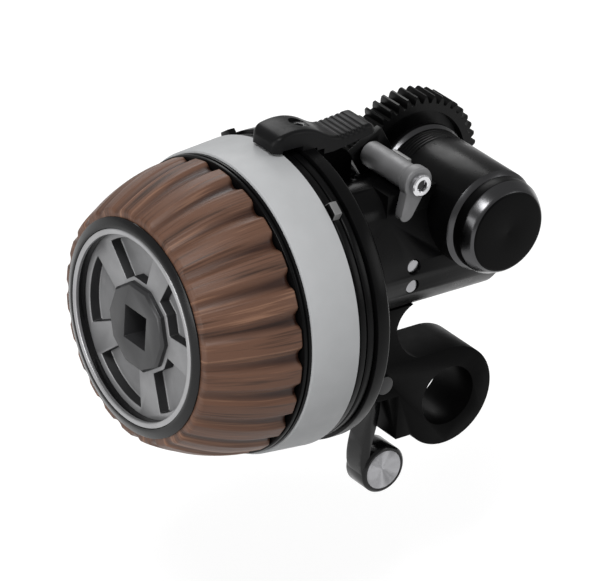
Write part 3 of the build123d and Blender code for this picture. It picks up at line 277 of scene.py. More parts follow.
@dataclass(frozen=True)
class WoodFinish(Finish):
    """Oiled walnut: long streaks and open pores, with painted shade darkening the grooves."""

    dark: Colour = (0.22, 0.15, 0.115)
    pale: Colour = (0.56, 0.42, 0.335)
    # How dark the painted shade makes the wood in the deepest grooves.
    groove_painted_shade: Colour = (0.50, 0.43, 0.40)
    rolled: float = 32.0

    def wrap(self, tree: ShaderTree) -> None:
        """Lay the pattern round the wheel, so that the grain runs along the flutes."""
        _, apart = tree.seen_from(WHEEL_AXIS)
        flat = tree.after(apart, "Y", "CombineXYZ", "Y")
        tree.join(apart, "Z", flat, "Z")
        level = tree.after(flat, "Vector", "VectorMath", 0, operation="NORMALIZE")
        size = {"Scale": self.rolled * MM}
        sized = tree.after(level, "Vector", "VectorMath", 0, size, operation="SCALE")
        length = tree.after(apart, "X", "CombineXYZ", "X")
        total = tree.after(sized, "Vector", "VectorMath", 0, operation="ADD")
        tree.join(length, "Vector", total, 1)
        tree.spot = (total, "Vector")

    def shade(self, tree: ShaderTree) -> None:
        """Build the node tree from streaks, figure and pores, with painted shade from the depth of the
        grooves.
        """
        self.wrap(tree)
        tree.give({"Specular IOR Level": self.specular})
        figure = tree.noise((40.0, 2.6, 2.6), 3.0)
        fibres = tree.noise((14.0, 0.5, 0.5), 2.0)
        pores = tree.noise((5.0, 0.16, 0.16), 2.0)
        blend = tree.after(figure, "Fac", "Mix", 2, {"Factor": 0.4}, data_type="FLOAT")
        tree.join(fibres, "Fac", blend, 3)
        stops = [(0.34, self.dark), (0.47, self.colour), (0.54, self.colour), (0.68, self.pale)]
        ramp = tree.ramp(blend, "Result", stops)
        # The groove weight multiplies the colour darker in the grooves and notches: painted shade, not the
        # wood's own colour.
        groove = tree.add("Attribute", attribute_name="groove")
        tint = {"B": to_linear(self.groove_painted_shade)}
        shade = tree.after(groove, "Fac", "Mix", "Factor", tint, data_type="RGBA", blend_type="MULTIPLY")
        tree.join(ramp, "Color", shade, "A")
        tree.join(shade, "Result", tree.shader, "Base Color")
        tree.roughen(fibres, self.roughness * 0.85, self.roughness * 1.2)
        tree.bump(pores, "Fac", 0.04, tree.bump(fibres, "Fac", 0.05))


WALNUT = WoodFinish("oiled_walnut", "walnut", (0.38, 0.268, 0.21), 0.44, specular=0.28)
WHITE = Finish("white_marking_band", "band_white", (0.665, 0.67, 0.675), 0.6, patches=0.012, grain_mm=0.3)
BLACK = Finish(
    "black_anodised_satin", "black_anodised", (0.03, 0.03, 0.032), 0.30, specular=0.10, patches=0.05,
    grain_height=0.005,
)
BLACK_SOFT = Finish("black_anodised_matte", "black_anodised", (0.02, 0.02, 0.021), 0.36, specular=0.05)
BEZEL_BLACK = Finish(
    "black_anodised_bright", "black_anodised", (0.06, 0.06, 0.063), 0.22, specular=0.25, patches=0.03,
    grain_height=0.003,
)
# A darker, duller copy of the black anodising: painted shade for pieces that lie in shade, the back cover,
# the bracket web and the clamp.
BLACK_PAINTED_SHADE = Finish("black_anodised_painted_shade", "black_anodised", (0.018, 0.018, 0.019), 0.38, specular=0.03)
POINTER_BLACK = Finish("black_anodised_fine", "black_anodised", (0.06, 0.06, 0.063), 0.38, specular=0.11)
BRIGHT_CUT = Finish(
    "bright_cut_black", "black_anodised", (0.30, 0.30, 0.305), 0.24, metallic=1.0, patches=0.03,
    grain_height=0.002,
)
GUNMETAL = Finish(
    "blasted_gunmetal", "gunmetal", (0.48, 0.48, 0.485), 0.50, metallic=0.35, patches=0.05, grain_height=0.010
)
FACE_METAL = Finish(
    "blasted_face", "gunmetal", (0.53, 0.53, 0.535), 0.44, metallic=0.35, patches=0.04, grain_height=0.010
)
# A darker copy of the blasted gunmetal: painted shade on the walls of the face plate's pockets and bore.
GUNMETAL_WALL_SHADE = Finish(
    "gunmetal_painted_wall_shade", "gunmetal", (0.13, 0.13, 0.135), 0.5, metallic=0.3, grain_height=0.010
)
DARK_METAL = Finish("dark_hub_metal", "gunmetal", (0.20, 0.20, 0.205), 0.32, metallic=0.4)
LIGHT_METAL = Finish("light_stop_lug", "gunmetal", (0.45, 0.45, 0.45), 0.45, metallic=0.2)
GEAR = Finish("moulded_gear", "gear_black", (0.03, 0.03, 0.031), 0.34, specular=0.13)
STEEL = Finish("ground_steel", "steel", (0.60, 0.60, 0.61), 0.32, metallic=1.0, grain_mm=0.1)
BRONZE = Finish("turned_bronze", "bronze", (0.74, 0.57, 0.34), 0.36, metallic=1.0)
SCREW_BLACK = Finish("black_oxide", "screw_black", (0.10, 0.10, 0.105), 0.32, specular=0.4)
SIDE_STEEL = Finish(
    "dark_polished_steel", "polished", (0.60, 0.60, 0.61), 0.25, metallic=1.0, grain_height=0.002
)
SATIN = Finish(
    "satin_edge", "polished", (0.62, 0.62, 0.625), 0.34, metallic=0.8, patches=0.03, grain_height=0.003
)
POLISHED = Finish(
    "polished_steel", "polished", (0.84, 0.84, 0.85), 0.2, metallic=1.0, patches=0.02, grain_height=0.001
)
DISC = TurnedFinish(
    "turned_disc", "polished", (0.70, 0.70, 0.71), 0.52, metallic=1.0, patches=0.02, grain_height=0.001,
    turning=Turning.DRIVE, centre=(-14.6, 0.0, -17.4), ring_mm=0.5, ring_height=0.003,
)


def eased(outline: Sequence[Point], radius: float, steps: int = 2) -> list[Point]:
    """Round every corner of a closed outline.

    Args:
        outline: the corners, in order.
        radius: how far from each corner the rounding starts, at most.
        steps: straight pieces in each rounding.

    Returns:
        The points of the rounded outline.
    """
    rounded: list[Point] = []
    count = len(outline)
    for index, corner in enumerate(outline):
        here = Vector(corner)
        before = Vector(outline[index - 1]) - here
        after = Vector(outline[(index + 1) % count]) - here
        reach = min(radius, 0.45 * before.length, 0.45 * after.length)
        start = here + before.normalized() * reach
        end = here + after.normalized() * reach
        for step in range(steps + 1):
            t = step / steps
            point = start * (1 - t) ** 2 + here * 2 * t * (1 - t) + end * t**2
            rounded.append((point.x, point.y))
    return rounded


def around(turning: Turning, centre: Sequence[float], along: float, radius: float, angle: float) -> Vector:
    """A point round a line.

    Args:
        turning: which way the line runs.
        centre: a point of the line, in millimetres.
        along: the point's place along the line, in millimetres.
        radius: its distance from the line, in millimetres.
        angle: its angle from straight up, in radians.

    Returns:
        The point, in metres.
    """
    side, up = radius * math.sin(angle), radius * math.cos(angle)
    if turning is Turning.WHEEL:
        return Vector((along, centre[1] + side, centre[2] + up)) * MM
    return Vector((centre[0] + side, along, centre[2] + up)) * MM


def mesh_object(name: str, mesh: Mesh) -> Object:
    """Wrap a mesh in an object at the origin of the scene."""
    piece = bpy.data.objects.new(name, mesh)
    bpy.context.scene.collection.objects.link(piece)
    return piece


def applied(piece: Object) -> Mesh:
    """The plain mesh that a piece's modifiers make of it. The piece itself is removed."""
    whole = piece.evaluated_get(bpy.context.evaluated_depsgraph_get())
    mesh = bpy.data.meshes.new_from_object(whole)
    bpy.data.objects.remove(piece)
    return mesh


def written(name: str, work: bmesh.types.BMesh) -> Mesh:
    """Write a bmesh out as a new mesh, and free it."""
    mesh = bpy.data.meshes.new(name)
    work.to_mesh(mesh)
    work.free()
    return mesh


def smooth_by_angle(mesh: Mesh, degrees: float) -> None:
    """Shade a mesh smooth, apart from edges sharper than this angle."""
    mesh.shade_smooth()
    mesh.set_sharp_from_angle(angle=math.radians(degrees))


def finished_mesh(name: str, work: bmesh.types.BMesh, sharp: float = 35.0) -> Mesh:
    """Turn a bmesh into a mesh with outward faces.

    Args:
        name: the mesh's name.
        work: the bmesh, which is freed.
        sharp: edges sharper than this, in degrees, stay sharp.

    Returns:
        The new mesh.
    """
    bmesh.ops.remove_doubles(work, verts=work.verts, dist=1e-7)
    bmesh.ops.recalc_face_normals(work, faces=work.faces)
    mesh = written(name, work)
    smooth_by_angle(mesh, sharp)
    return mesh


def bridge(work: bmesh.types.BMesh, loops: Sequence[Sequence[bmesh.types.BMVert]]) -> None:
    """Join each closed loop of points to the next one with faces."""
    for one, two in zip(loops, loops[1:]):
        for k in range(len(one)):
            k2 = (k + 1) % len(one)
            work.faces.new((one[k], one[k2], two[k2], two[k]))


def lofted(name: str, sections: Sequence[Sequence[Vector]], sharp: float = 32.0) -> Mesh:
    """Join closed sections, each with the same number of points, into one closed skin.

    Args:
        name: the mesh's name.
        sections: the sections, in order, in millimetres.
        sharp: edges sharper than this, in degrees, stay sharp.

    Returns:
        The new mesh.
    """
    work = bmesh.new()
    loops = [[work.verts.new(point * MM) for point in section] for section in sections]
    bridge(work, loops)
    work.faces.new(loops[0])
    work.faces.new(list(reversed(loops[-1])))
    return finished_mesh(name, work, sharp)


def turned(
    name: str, outline: Sequence[Point], turning: Turning, centre: Sequence[float], steps: int = 160
) -> Object:
    """Make a turned piece.

    Args:
        name: the piece's name.
        outline: closed outline of (place along the axis, radius), in millimetres.
        turning: the line that it is turned about.
        centre: a point of that line, in millimetres.
        steps: facets round the piece.

    Returns:
        The new object.
    """
    work = bmesh.new()
    rings = [
        [
            work.verts.new(around(turning, centre, along, radius, 2 * math.pi * step / steps))
            for step in range(steps if radius > 1e-6 else 1)
        ]
        for along, radius in outline
    ]
    for ring, other in zip(rings, rings[1:] + rings[:1]):
        for step in range(steps):
            corners = [
                ring[step % len(ring)], ring[(step + 1) % len(ring)],
                other[(step + 1) % len(other)], other[step % len(other)],
            ]
            corners = list(dict.fromkeys(corners))
            if len(corners) > 2:
                work.faces.new(corners)
    return mesh_object(name, finished_mesh(name, work))


class RingOfCopies:
    """A Geometry Nodes tree that sets copies of a mesh round a line and joins them."""

    def __init__(self) -> None:
        """Build the node group with its named inputs."""
        self.group = bpy.data.node_groups.new("ring_of_copies", "GeometryNodeTree")
        face = self.group.interface
        kinds = {"Sector": "Geometry", "Count": "Int", "Centre": "Vector", "Turn": "Vector"}
        self.inputs = {
            name: face.new_socket(name, in_out="INPUT", socket_type="NodeSocket" + kind).identifier
            for name, kind in (kinds | {"Finish": "Material"}).items()
        }
        face.new_socket("Ring", in_out="OUTPUT", socket_type="NodeSocketGeometry")
        given, made, back, centred, points, index, angle, copies, real, merged, dressed = (
            self.group.nodes.new(kind)
            for kind in (
                "NodeGroupInput", "NodeGroupOutput", "ShaderNodeVectorMath", "GeometryNodeTransform",
                "GeometryNodePoints", "GeometryNodeInputIndex", "ShaderNodeVectorMath",
                "GeometryNodeInstanceOnPoints", "GeometryNodeRealizeInstances",
                "GeometryNodeMergeByDistance", "GeometryNodeSetMaterial",
            )
        )
        back.operation = angle.operation = "SCALE"
        back.inputs["Scale"].default_value = -1.0
        merged.inputs["Distance"].default_value = 2e-6
        for source, out, target, into in (
            (given, "Centre", back, 0), (given, "Sector", centred, "Geometry"),
            (back, "Vector", centred, "Translation"), (given, "Count", points, "Count"),
            (given, "Centre", points, "Position"), (given, "Turn", angle, 0),
            (index, "Index", angle, "Scale"), (points, "Points", copies, "Points"),
            (centred, "Geometry", copies, "Instance"), (angle, "Vector", copies, "Rotation"),
            (copies, "Instances", real, "Geometry"), (real, "Geometry", merged, "Geometry"),
            (merged, "Geometry", dressed, "Geometry"), (given, "Finish", dressed, "Material"),
            (dressed, "Geometry", made, "Ring"),
        ):
            self.group.links.new(source.outputs[out], target.inputs[into])

    def make(
        self, name: str, sector: Mesh, count: int, centre: Sequence[float], turning: Turning,
        finish: Finish, sharp: float,
    ) -> Object:
        """Set copies of a sector round a line.

        Args:
            name: the piece's name.
            sector: the mesh of one copy.
            count: how many copies make the full turn.
            centre: a point of the line, in millimetres.
            turning: which line it is.
            finish: the finish of the piece.
            sharp: edges sharper than this, in degrees, stay sharp.

        Returns:
            The finished piece, a plain mesh.
        """
        carrier = mesh_object(name + "_sector", sector)
        modifier = carrier.modifiers.new("copies", "NODES")
        modifier.node_group = self.group
        step = 2 * math.pi / count
        modifier[self.inputs["Count"]] = count
        modifier[self.inputs["Centre"]] = tuple(c * MM for c in centre)
        modifier[self.inputs["Turn"]] = (step, 0.0, 0.0) if turning is Turning.WHEEL else (0.0, step, 0.0)
        modifier[self.inputs["Finish"]] = finish.material()
        mesh = applied(carrier)
        mesh.name = name
        smooth_by_angle(mesh, sharp)
        return mesh_object(name, mesh)


RING = RingOfCopies()


def dress(piece: Object, finish: Finish, body: str, *nodes: str) -> Object:
    """Give a piece its finish, set it on a body and let it stand for its CAD nodes.

    Args:
        piece: the finished piece.
        finish: its finish.
        body: the body that it moves with.
        *nodes: the CAD nodes that it stands for.

    Returns:
        The same piece.
    """
    piece.data.materials.clear()
    piece.data.materials.append(finish.material())
    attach(piece, body)
    if nodes:
        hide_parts(*nodes)
    log.info("%s rides on %s, %d faces", piece.name, body, len(piece.data.polygons))
    return piece


def pick_out(piece: Object, second: Finish, chosen: Chooser) -> None:
    """Give some faces of a piece a second finish.

    Args:
        piece: the dressed piece.
        second: the second finish.
        chosen: tells whether a face takes it.
    """
    piece.data.materials.append(second.material())
    for face in piece.data.polygons:
        face.material_index = 1 if chosen(face) else 0


def bevelled(mesh: Mesh, width: float) -> Mesh:
    """A copy of a mesh with its sharp edges rounded.

    Args:
        mesh: the mesh to copy.
        width: width of the rounding, in metres.

    Returns:
        The rounded mesh.
    """
    carrier = mesh_object("rounding", mesh)
    ease = carrier.modifiers.new("ease", "BEVEL")
    ease.width = width
    ease.segments = 2
    ease.limit_method = "ANGLE"
    ease.angle_limit = math.radians(32)
    ease.use_clamp_overlap = True
    return applied(carrier)


def best_rounding(mesh: Mesh, width: float) -> tuple[Mesh, float]:
    """Round a mesh's edges as far as its form allows.

    A rounding is taken only when none of its points strays from the original surface.

    Args:
        mesh: the mesh to round.
        width: the widest rounding wanted, in millimetres.

    Returns:
        The rounded mesh, or the original, and the width that was used.
    """
    work = bmesh.new()
    work.from_mesh(mesh)
    surface = BVHTree.FromBMesh(work)
    work.free()
    for share in (1.0, 0.7, 0.45, 0.25):
        reach = width * share * MM
        rounded = bevelled(mesh, reach)
        strays = (surface.find_nearest(vert.co)[3] for vert in rounded.vertices)
        if max(strays) < 0.55 * reach:
            return rounded, width * share
    return mesh, 0.0


def cleaned_copy(node: str, name: str) -> Mesh:
    """A CAD node's mesh with its flat facets joined.

    Args:
        node: the CAD node.
        name: the copy's name.

    Returns:
        The copy.
    """
    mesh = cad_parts[node].data.copy()
    mesh.name = name
    work = bmesh.new()
    work.from_mesh(mesh)
    bmesh.ops.remove_doubles(work, verts=work.verts, dist=2e-6)
    bmesh.ops.dissolve_degenerate(work, edges=work.edges, dist=1e-6)
    bmesh.ops.dissolve_limit(
        work, angle_limit=math.radians(0.4), verts=work.verts, edges=work.edges, use_dissolve_boundaries=False
    )
    work.to_mesh(mesh)
    work.free()
    return mesh


def refined(
    node: str, name: str, bevel: float, finish: Finish, body: str, second: Finish | None = None,
    chosen: Chooser | None = None,
) -> Object:
    """Stand in for a CAD node with the same form, its edges eased and its curves shaded smooth.

    Args:
        node: the CAD node.
        name: the new piece's name.
        bevel: width of the eased edges, in millimetres.
        finish: the finish of the piece.
        body: the body that it moves with.
        second: a second finish, for the faces that are chosen.
        chosen: tells whether a face takes the second finish.

    Returns:
        The new piece.
    """
    mesh, used = best_rounding(cleaned_copy(node, name), bevel)
    log.info("%s: edges rounded by %.2f mm", name, used)
    smooth_by_angle(mesh, 38)
    piece = dress(mesh_object(name, mesh), finish, body, node)
    if second is not None and chosen is not None:
        pick_out(piece, second, chosen)
    return piece


def plain(finish: Finish, *nodes: str) -> None:
    """Give CAD nodes that stay their finish."""
    for node in nodes:
        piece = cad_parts[node]
        piece.data.materials.clear()
        piece.data.materials.append(finish.material())
        log.info("%s keeps its own form", node)


def drilled(name: str, mesh: Mesh, drill: Object) -> Object:
    """Make a piece with a hole.

    Args:
        name: the piece's name.
        mesh: its form before the hole is cut.
        drill: the form of the hole, which is used up.

    Returns:
        The new piece, a plain mesh.
    """
    carrier = mesh_object(name + "_blank", mesh)
    cut = carrier.modifiers.new("hole", "BOOLEAN")
    cut.operation = "DIFFERENCE"
    cut.solver = "EXACT"
    cut.object = drill
    mesh = applied(carrier)
    bpy.data.objects.remove(drill)
    smooth_by_angle(mesh, 32)
    return mesh_object(name, mesh)


def between_points(points: Sequence[Point], along: float) -> float:
    """Value at a place on a smooth line through some points.

    Args:
        points: (place, value) pairs, in order of their place.
        along: the place asked for.

    Returns:
        The value there, held level beyond the ends.
    """
    if along <= points[0][0]:
        return points[0][1]
    if along >= points[-1][0]:
        return points[-1][1]
    index = max(i for i in range(len(points) - 1) if points[i][0] <= along)
    (x0, v0), (x1, v1) = points[index], points[index + 1]
    before = points[index - 1] if index else points[index]
    after = points[index + 2] if index + 2 < len(points) else points[index + 1]
    rise0 = (v1 - before[1]) / (x1 - before[0])
    rise1 = (after[1] - v0) / (after[0] - x0)
    width = x1 - x0
    t = (along - x0) / width
    return (
        (2 * t**3 - 3 * t**2 + 1) * v0
        + (t**3 - 2 * t**2 + t) * width * rise0
        + (3 * t**2 - 2 * t**3) * v1
        + (t**3 - t**2) * width * rise1
    )


@dataclass
class Handwheel:
    """The fluted wheel, with everything that turns with it."""

    body: str = "handwheel"
    grip_front: float = -86.3
    grip_back: float = -65.0
    front_radius: float = 27.0
    middle_radius: float = 31.9
    back_radius: float = 34.0
    bore: float = 24.95
    lip_depth: float = 0.45
    lip_width: float = 0.5
    flutes: int = 24
    first_flute: float = 4.5
    groove_depth: float = 0.95
    groove_half: float = 2.15
    notch_half: float = 2.0
    notch_depth: float = 0.8
    notch_start: float = 0.92

    def build(self) -> None:
        """Make and dress every piece of the wheel."""
        self.grip()
        self.band_and_rings()
        # The walls of the pockets and the bore take the darker gunmetal, a painted shade.
        refined("spoke_face", "wheel_face", 0.22, FACE_METAL, self.body, GUNMETAL_WALL_SHADE, self.is_wall)
        refined("drive_socket", "drive_socket_body", 0.25, DARK_METAL, self.body)
        refined("stop_dog", "stop_dog_body", 0.12, BLACK, self.body)
        refined("wheel_core", "wheel_spool", 0.15, BLACK_SOFT, self.body)
        refined("wheel_tube", "wheel_sleeve", 0.15, BLACK_SOFT, self.body)
        plain(STEEL, "wheel_shaft", "wheel_pinion", "shaft_clip", "socket_magnet")
        plain(SCREW_BLACK, "grip_screws")

    @staticmethod
    def is_wall(face: Face) -> bool:
        """Whether a face of the wheel's face plate is a wall of a pocket or of the bore; these walls take a
        painted shade.
        """
        return abs(face.normal.x) < 0.35

    def barrel(self, share: float) -> float:
        """Radius of the barrel at this share of its length, from the front, on one smooth arc."""
        a, b, c = self.front_radius, self.middle_radius, self.back_radius
        return a * (1 - share) * (1 - 2 * share) + 4 * b * share * (1 - share) + c * share * (2 * share - 1)

    def depth(self, offset: float, share: float) -> float:
        """How far the surface lies below the barrel.

        Args:
            offset: distance from the middle of the groove, round the barrel.
            share: share of the length, from the front.

        Returns:
            The depth of the groove there, in millimetres.
        """
        wider, deeper = 0.8 + 0.35 * share, 0.75 + 0.35 * share
        reach = min(1.0, offset / (self.groove_half * wider))
        groove = self.groove_depth * deeper * (1 - reach**2) ** 0.8
        end = max(0.0, (share - self.notch_start) / (1 - self.notch_start))
        return groove + self.notch_depth * end**2 * max(0.0, 1 - (offset / self.notch_half) ** 2)

    def grip(self) -> None:
        """One groove with half a land on each side, set round the wheel."""
        length = self.grip_back - self.grip_front
        across, along, crowding = 28, 44, 1.2
        half_step = math.pi / self.flutes
        first = math.radians(self.first_flute)
        work = bmesh.new()
        groove = work.verts.layers.float.new("groove")
        loops = []
        for i in range(across + 1):
            t = 2 * i / across - 1
            swing = half_step * math.copysign(abs(t) ** crowding, t)
            line = []
            for k in range(along + 1):
                share = 0.5 - 0.5 * math.cos(math.pi * k / along)
                radius = self.barrel(share)
                below = self.depth(abs(swing) * radius, share)
                edge = min(share, 1 - share) * length
                lip = self.lip_depth * max(0.0, 1 - edge / self.lip_width) ** 2
                line.append((self.grip_front + share * length, radius - below - lip, below))
            line += [(self.grip_back, self.bore, 0.0), (self.grip_front, self.bore, 0.0)]
            loop = []
            for x, radius, below in line:
                vert = work.verts.new(around(Turning.WHEEL, WHEEL_AXIS, x, radius, first + swing))
                # This weight carries a painted shade: the deeper the groove or notch, the darker the wood is
                # coloured.
                vert[groove] = min(1.0, max(0.0, below / self.groove_depth)) ** 3
                loop.append(vert)
            loops.append(loop)
        bridge(work, loops)
        bmesh.ops.reverse_faces(work, faces=work.faces)
        sector = written("flute", work)
        piece = RING.make("fluted_grip", sector, self.flutes, WHEEL_AXIS, Turning.WHEEL, WALNUT, 50)
        dress(piece, WALNUT, self.body, "wooden_grip")

    def band_and_rings(self) -> None:
        """The turned rings: marking band, grooved rim, bezel and its bright edge."""
        rings = (
            (
                "marking_sleeve", WHITE, "marking_band", 0.4,
                [(-63.0, 33.02), (-63.0, 34.95), (-51.0, 35.98), (-51.0, 33.02)],
            ),
            (
                "grooved_rim", BLACK, "rim_ring", 0.12,
                [
                    (-64.95, 24.95), (-64.95, 34.25), (-64.35, 34.4), (-64.3, 33.9), (-63.85, 33.9),
                    (-63.8, 34.4), (-63.05, 34.4), (-63.05, 24.95),
                ],
            ),
            (
                "bezel", BEZEL_BLACK, "front_bezel", 0.2,
                [
                    (-84.6, 21.45), (-84.6, 24.85), (-86.33, 24.85), (-86.33, 25.3), (-86.75, 25.3),
                    (-87.4, 23.5), (-87.4, 22.85), (-86.5, 22.85), (-86.5, 21.45),
                ],
            ),
            (
                "bright_edge", SATIN, "bezel_trim", 0.2,
                [
                    (-86.52, 21.45), (-87.3, 21.45), (-87.48, 21.9), (-87.48, 22.5), (-87.3, 22.8),
                    (-86.52, 22.8),
                ],
            ),
        )
        for name, finish, node, ease, outline in rings:
            piece = turned(name, eased(outline, ease), Turning.WHEEL, WHEEL_AXIS, 240)
            dress(piece, finish, self.body, node)


@dataclass
class Saddle:
    """The pointer: a rounded block over the band, a low waist and a ribbed ramp for the thumb."""

    tip: float = -54.0
    end: float = -25.62
    corner: float = 1.1
    rib_first: float = -35.4
    rib_pitch: float = 1.5
    rib_count: int = 5
    rib_cutter: float = 0.7
    rib_lift: float = 0.48
    thin_from: float = -37.5
    thinned: float = 1.9
    stations: int = 240
    top: tuple[Point, ...] = (
        (-54.0, 76.7), (-53.6, 77.4), (-52.6, 78.15), (-51.4, 78.58), (-49.5, 78.9), (-47.6, 78.97),
        (-45.5, 78.75), (-43.5, 78.2), (-41.5, 77.35), (-39.5, 76.2), (-37.8, 75.35), (-36.2, 74.98),
        (-31.0, 75.45), (-27.4, 75.8), (-26.3, 75.3), (-25.62, 74.4),
    )
    plan: tuple[Point, ...] = (
        (-54.0, 3.3), (-53.6, 3.85), (-53.0, 4.35), (-52.2, 4.7), (-51.0, 4.78), (-27.0, 4.78),
        (-26.2, 4.45), (-25.62, 3.9),
    )
    floors: tuple[Point, ...] = (
        (-51.74, 36.62), (-46.12, 37.32), (-42.14, 36.04), (-40.12, 35.32), (-20.0, 34.02),
    )

    def floor(self, along: float) -> float:
        """Radius of the underside, which follows the rings below it and then thins the thumb's end."""
        raised = max(0.0, (along - self.thin_from) / (self.end - self.thin_from)) * self.thinned
        return next(radius for limit, radius in self.floors if along < limit) + raised

    def height(self, along: float) -> float:
        """Height of the top, with the ribs' grooves cut into the ramp."""
        top = between_points(self.top, along)
        for rib in range(self.rib_count):
            offset = along - self.rib_first - self.rib_pitch * rib
            if abs(offset) < self.rib_cutter:
                top -= max(0.0, math.sqrt(self.rib_cutter**2 - offset**2) - self.rib_lift)
        return top

    def section(self, along: float, floor: float) -> list[Vector]:
        """One closed section across the pointer."""
        half, top = between_points(self.plan, along), self.height(along)
        under = [
            (side, WHEEL_HEIGHT + math.sqrt(floor**2 - side**2))
            for side in (half * (k / 5 - 1) for k in range(11))
        ]
        corner = min(self.corner, 0.6 * (top - under[0][1]))
        right = []
        for k in range(7):
            turn = math.pi / 2 * k / 6
            right.append((half - corner + corner * math.cos(turn), top - corner + corner * math.sin(turn)))
        left = [(-side, up) for side, up in reversed(right)]
        return [Vector((along, side, up)) for side, up in under + right + left]

    def mesh(self) -> Mesh:
        """The whole pointer, apart from the hole for its screw."""
        limits, clear, step = [limit for limit, _ in self.floors[:-1]], 0.03, 0.004
        places = [self.tip + (self.end - self.tip) * k / self.stations for k in range(self.stations + 1)]
        places = [x for x in places if all(abs(x - limit) > clear for limit in limits)]
        floors = [(x, self.floor(x)) for x in places]
        for index, limit in enumerate(limits):
            floors.append((limit - step, self.floors[index][1]))
            floors.append((limit + step, self.floors[index + 1][1]))
        return lofted("saddle", [self.section(x, floor) for x, floor in sorted(floors)])


@dataclass
class StopsAndPointer:
    """The two stop rings, the index pointer and its ring."""

    ring_radius: float = 35.25
    screw: Point = (-44.15, 0.0)
    head_radius: float = 2.4
    head_floor: float = 76.1
    head_top: float = 80.0

    def build(self) -> None:
        """Make and dress the rings and the pointer."""
        refined("stop_ring_a", "near_stop_ring", 0.12, BLACK, "near_stop", LIGHT_METAL, self.is_lug)
        refined("stop_ring_b", "far_stop_ring", 0.12, BLACK, "far_stop")
        outline = [(-46.0, 33.05), (-46.0, 36.0), (-42.9, 36.0), (-42.3, 35.3), (-42.3, 33.05)]
        ring = turned("pointer_carrier", eased(outline, 0.3), Turning.WHEEL, WHEEL_AXIS, 240)
        dress(ring, BLACK, "index_pointer", "pointer_ring")
        saddle = drilled("index_saddle", Saddle().mesh(), self.drill())
        dress(saddle, POINTER_BLACK, "index_pointer", "pointer")
        refined("pointer_screw", "pointer_screw_head", 0.12, SCREW_BLACK, "index_pointer")

    def is_lug(self, face: Face) -> bool:
        """Whether a face of the stop ring belongs to its lug."""
        middle = face.center / MM
        return math.hypot(middle.y, middle.z - WHEEL_HEIGHT) > self.ring_radius

    def drill(self) -> Object:
        """The room for the pointer's screw, an upright rod."""
        work = bmesh.new()
        radius = self.head_radius * MM
        height = (self.head_top - self.head_floor) * MM
        bmesh.ops.create_cone(
            work, cap_ends=True, segments=48, radius1=radius, radius2=radius, depth=height
        )
        middle = Vector((*self.screw, (self.head_floor + self.head_top) / 2)) * MM
        bmesh.ops.translate(work, vec=middle, verts=work.verts)
        return mesh_object("drill", finished_mesh("drill", work))


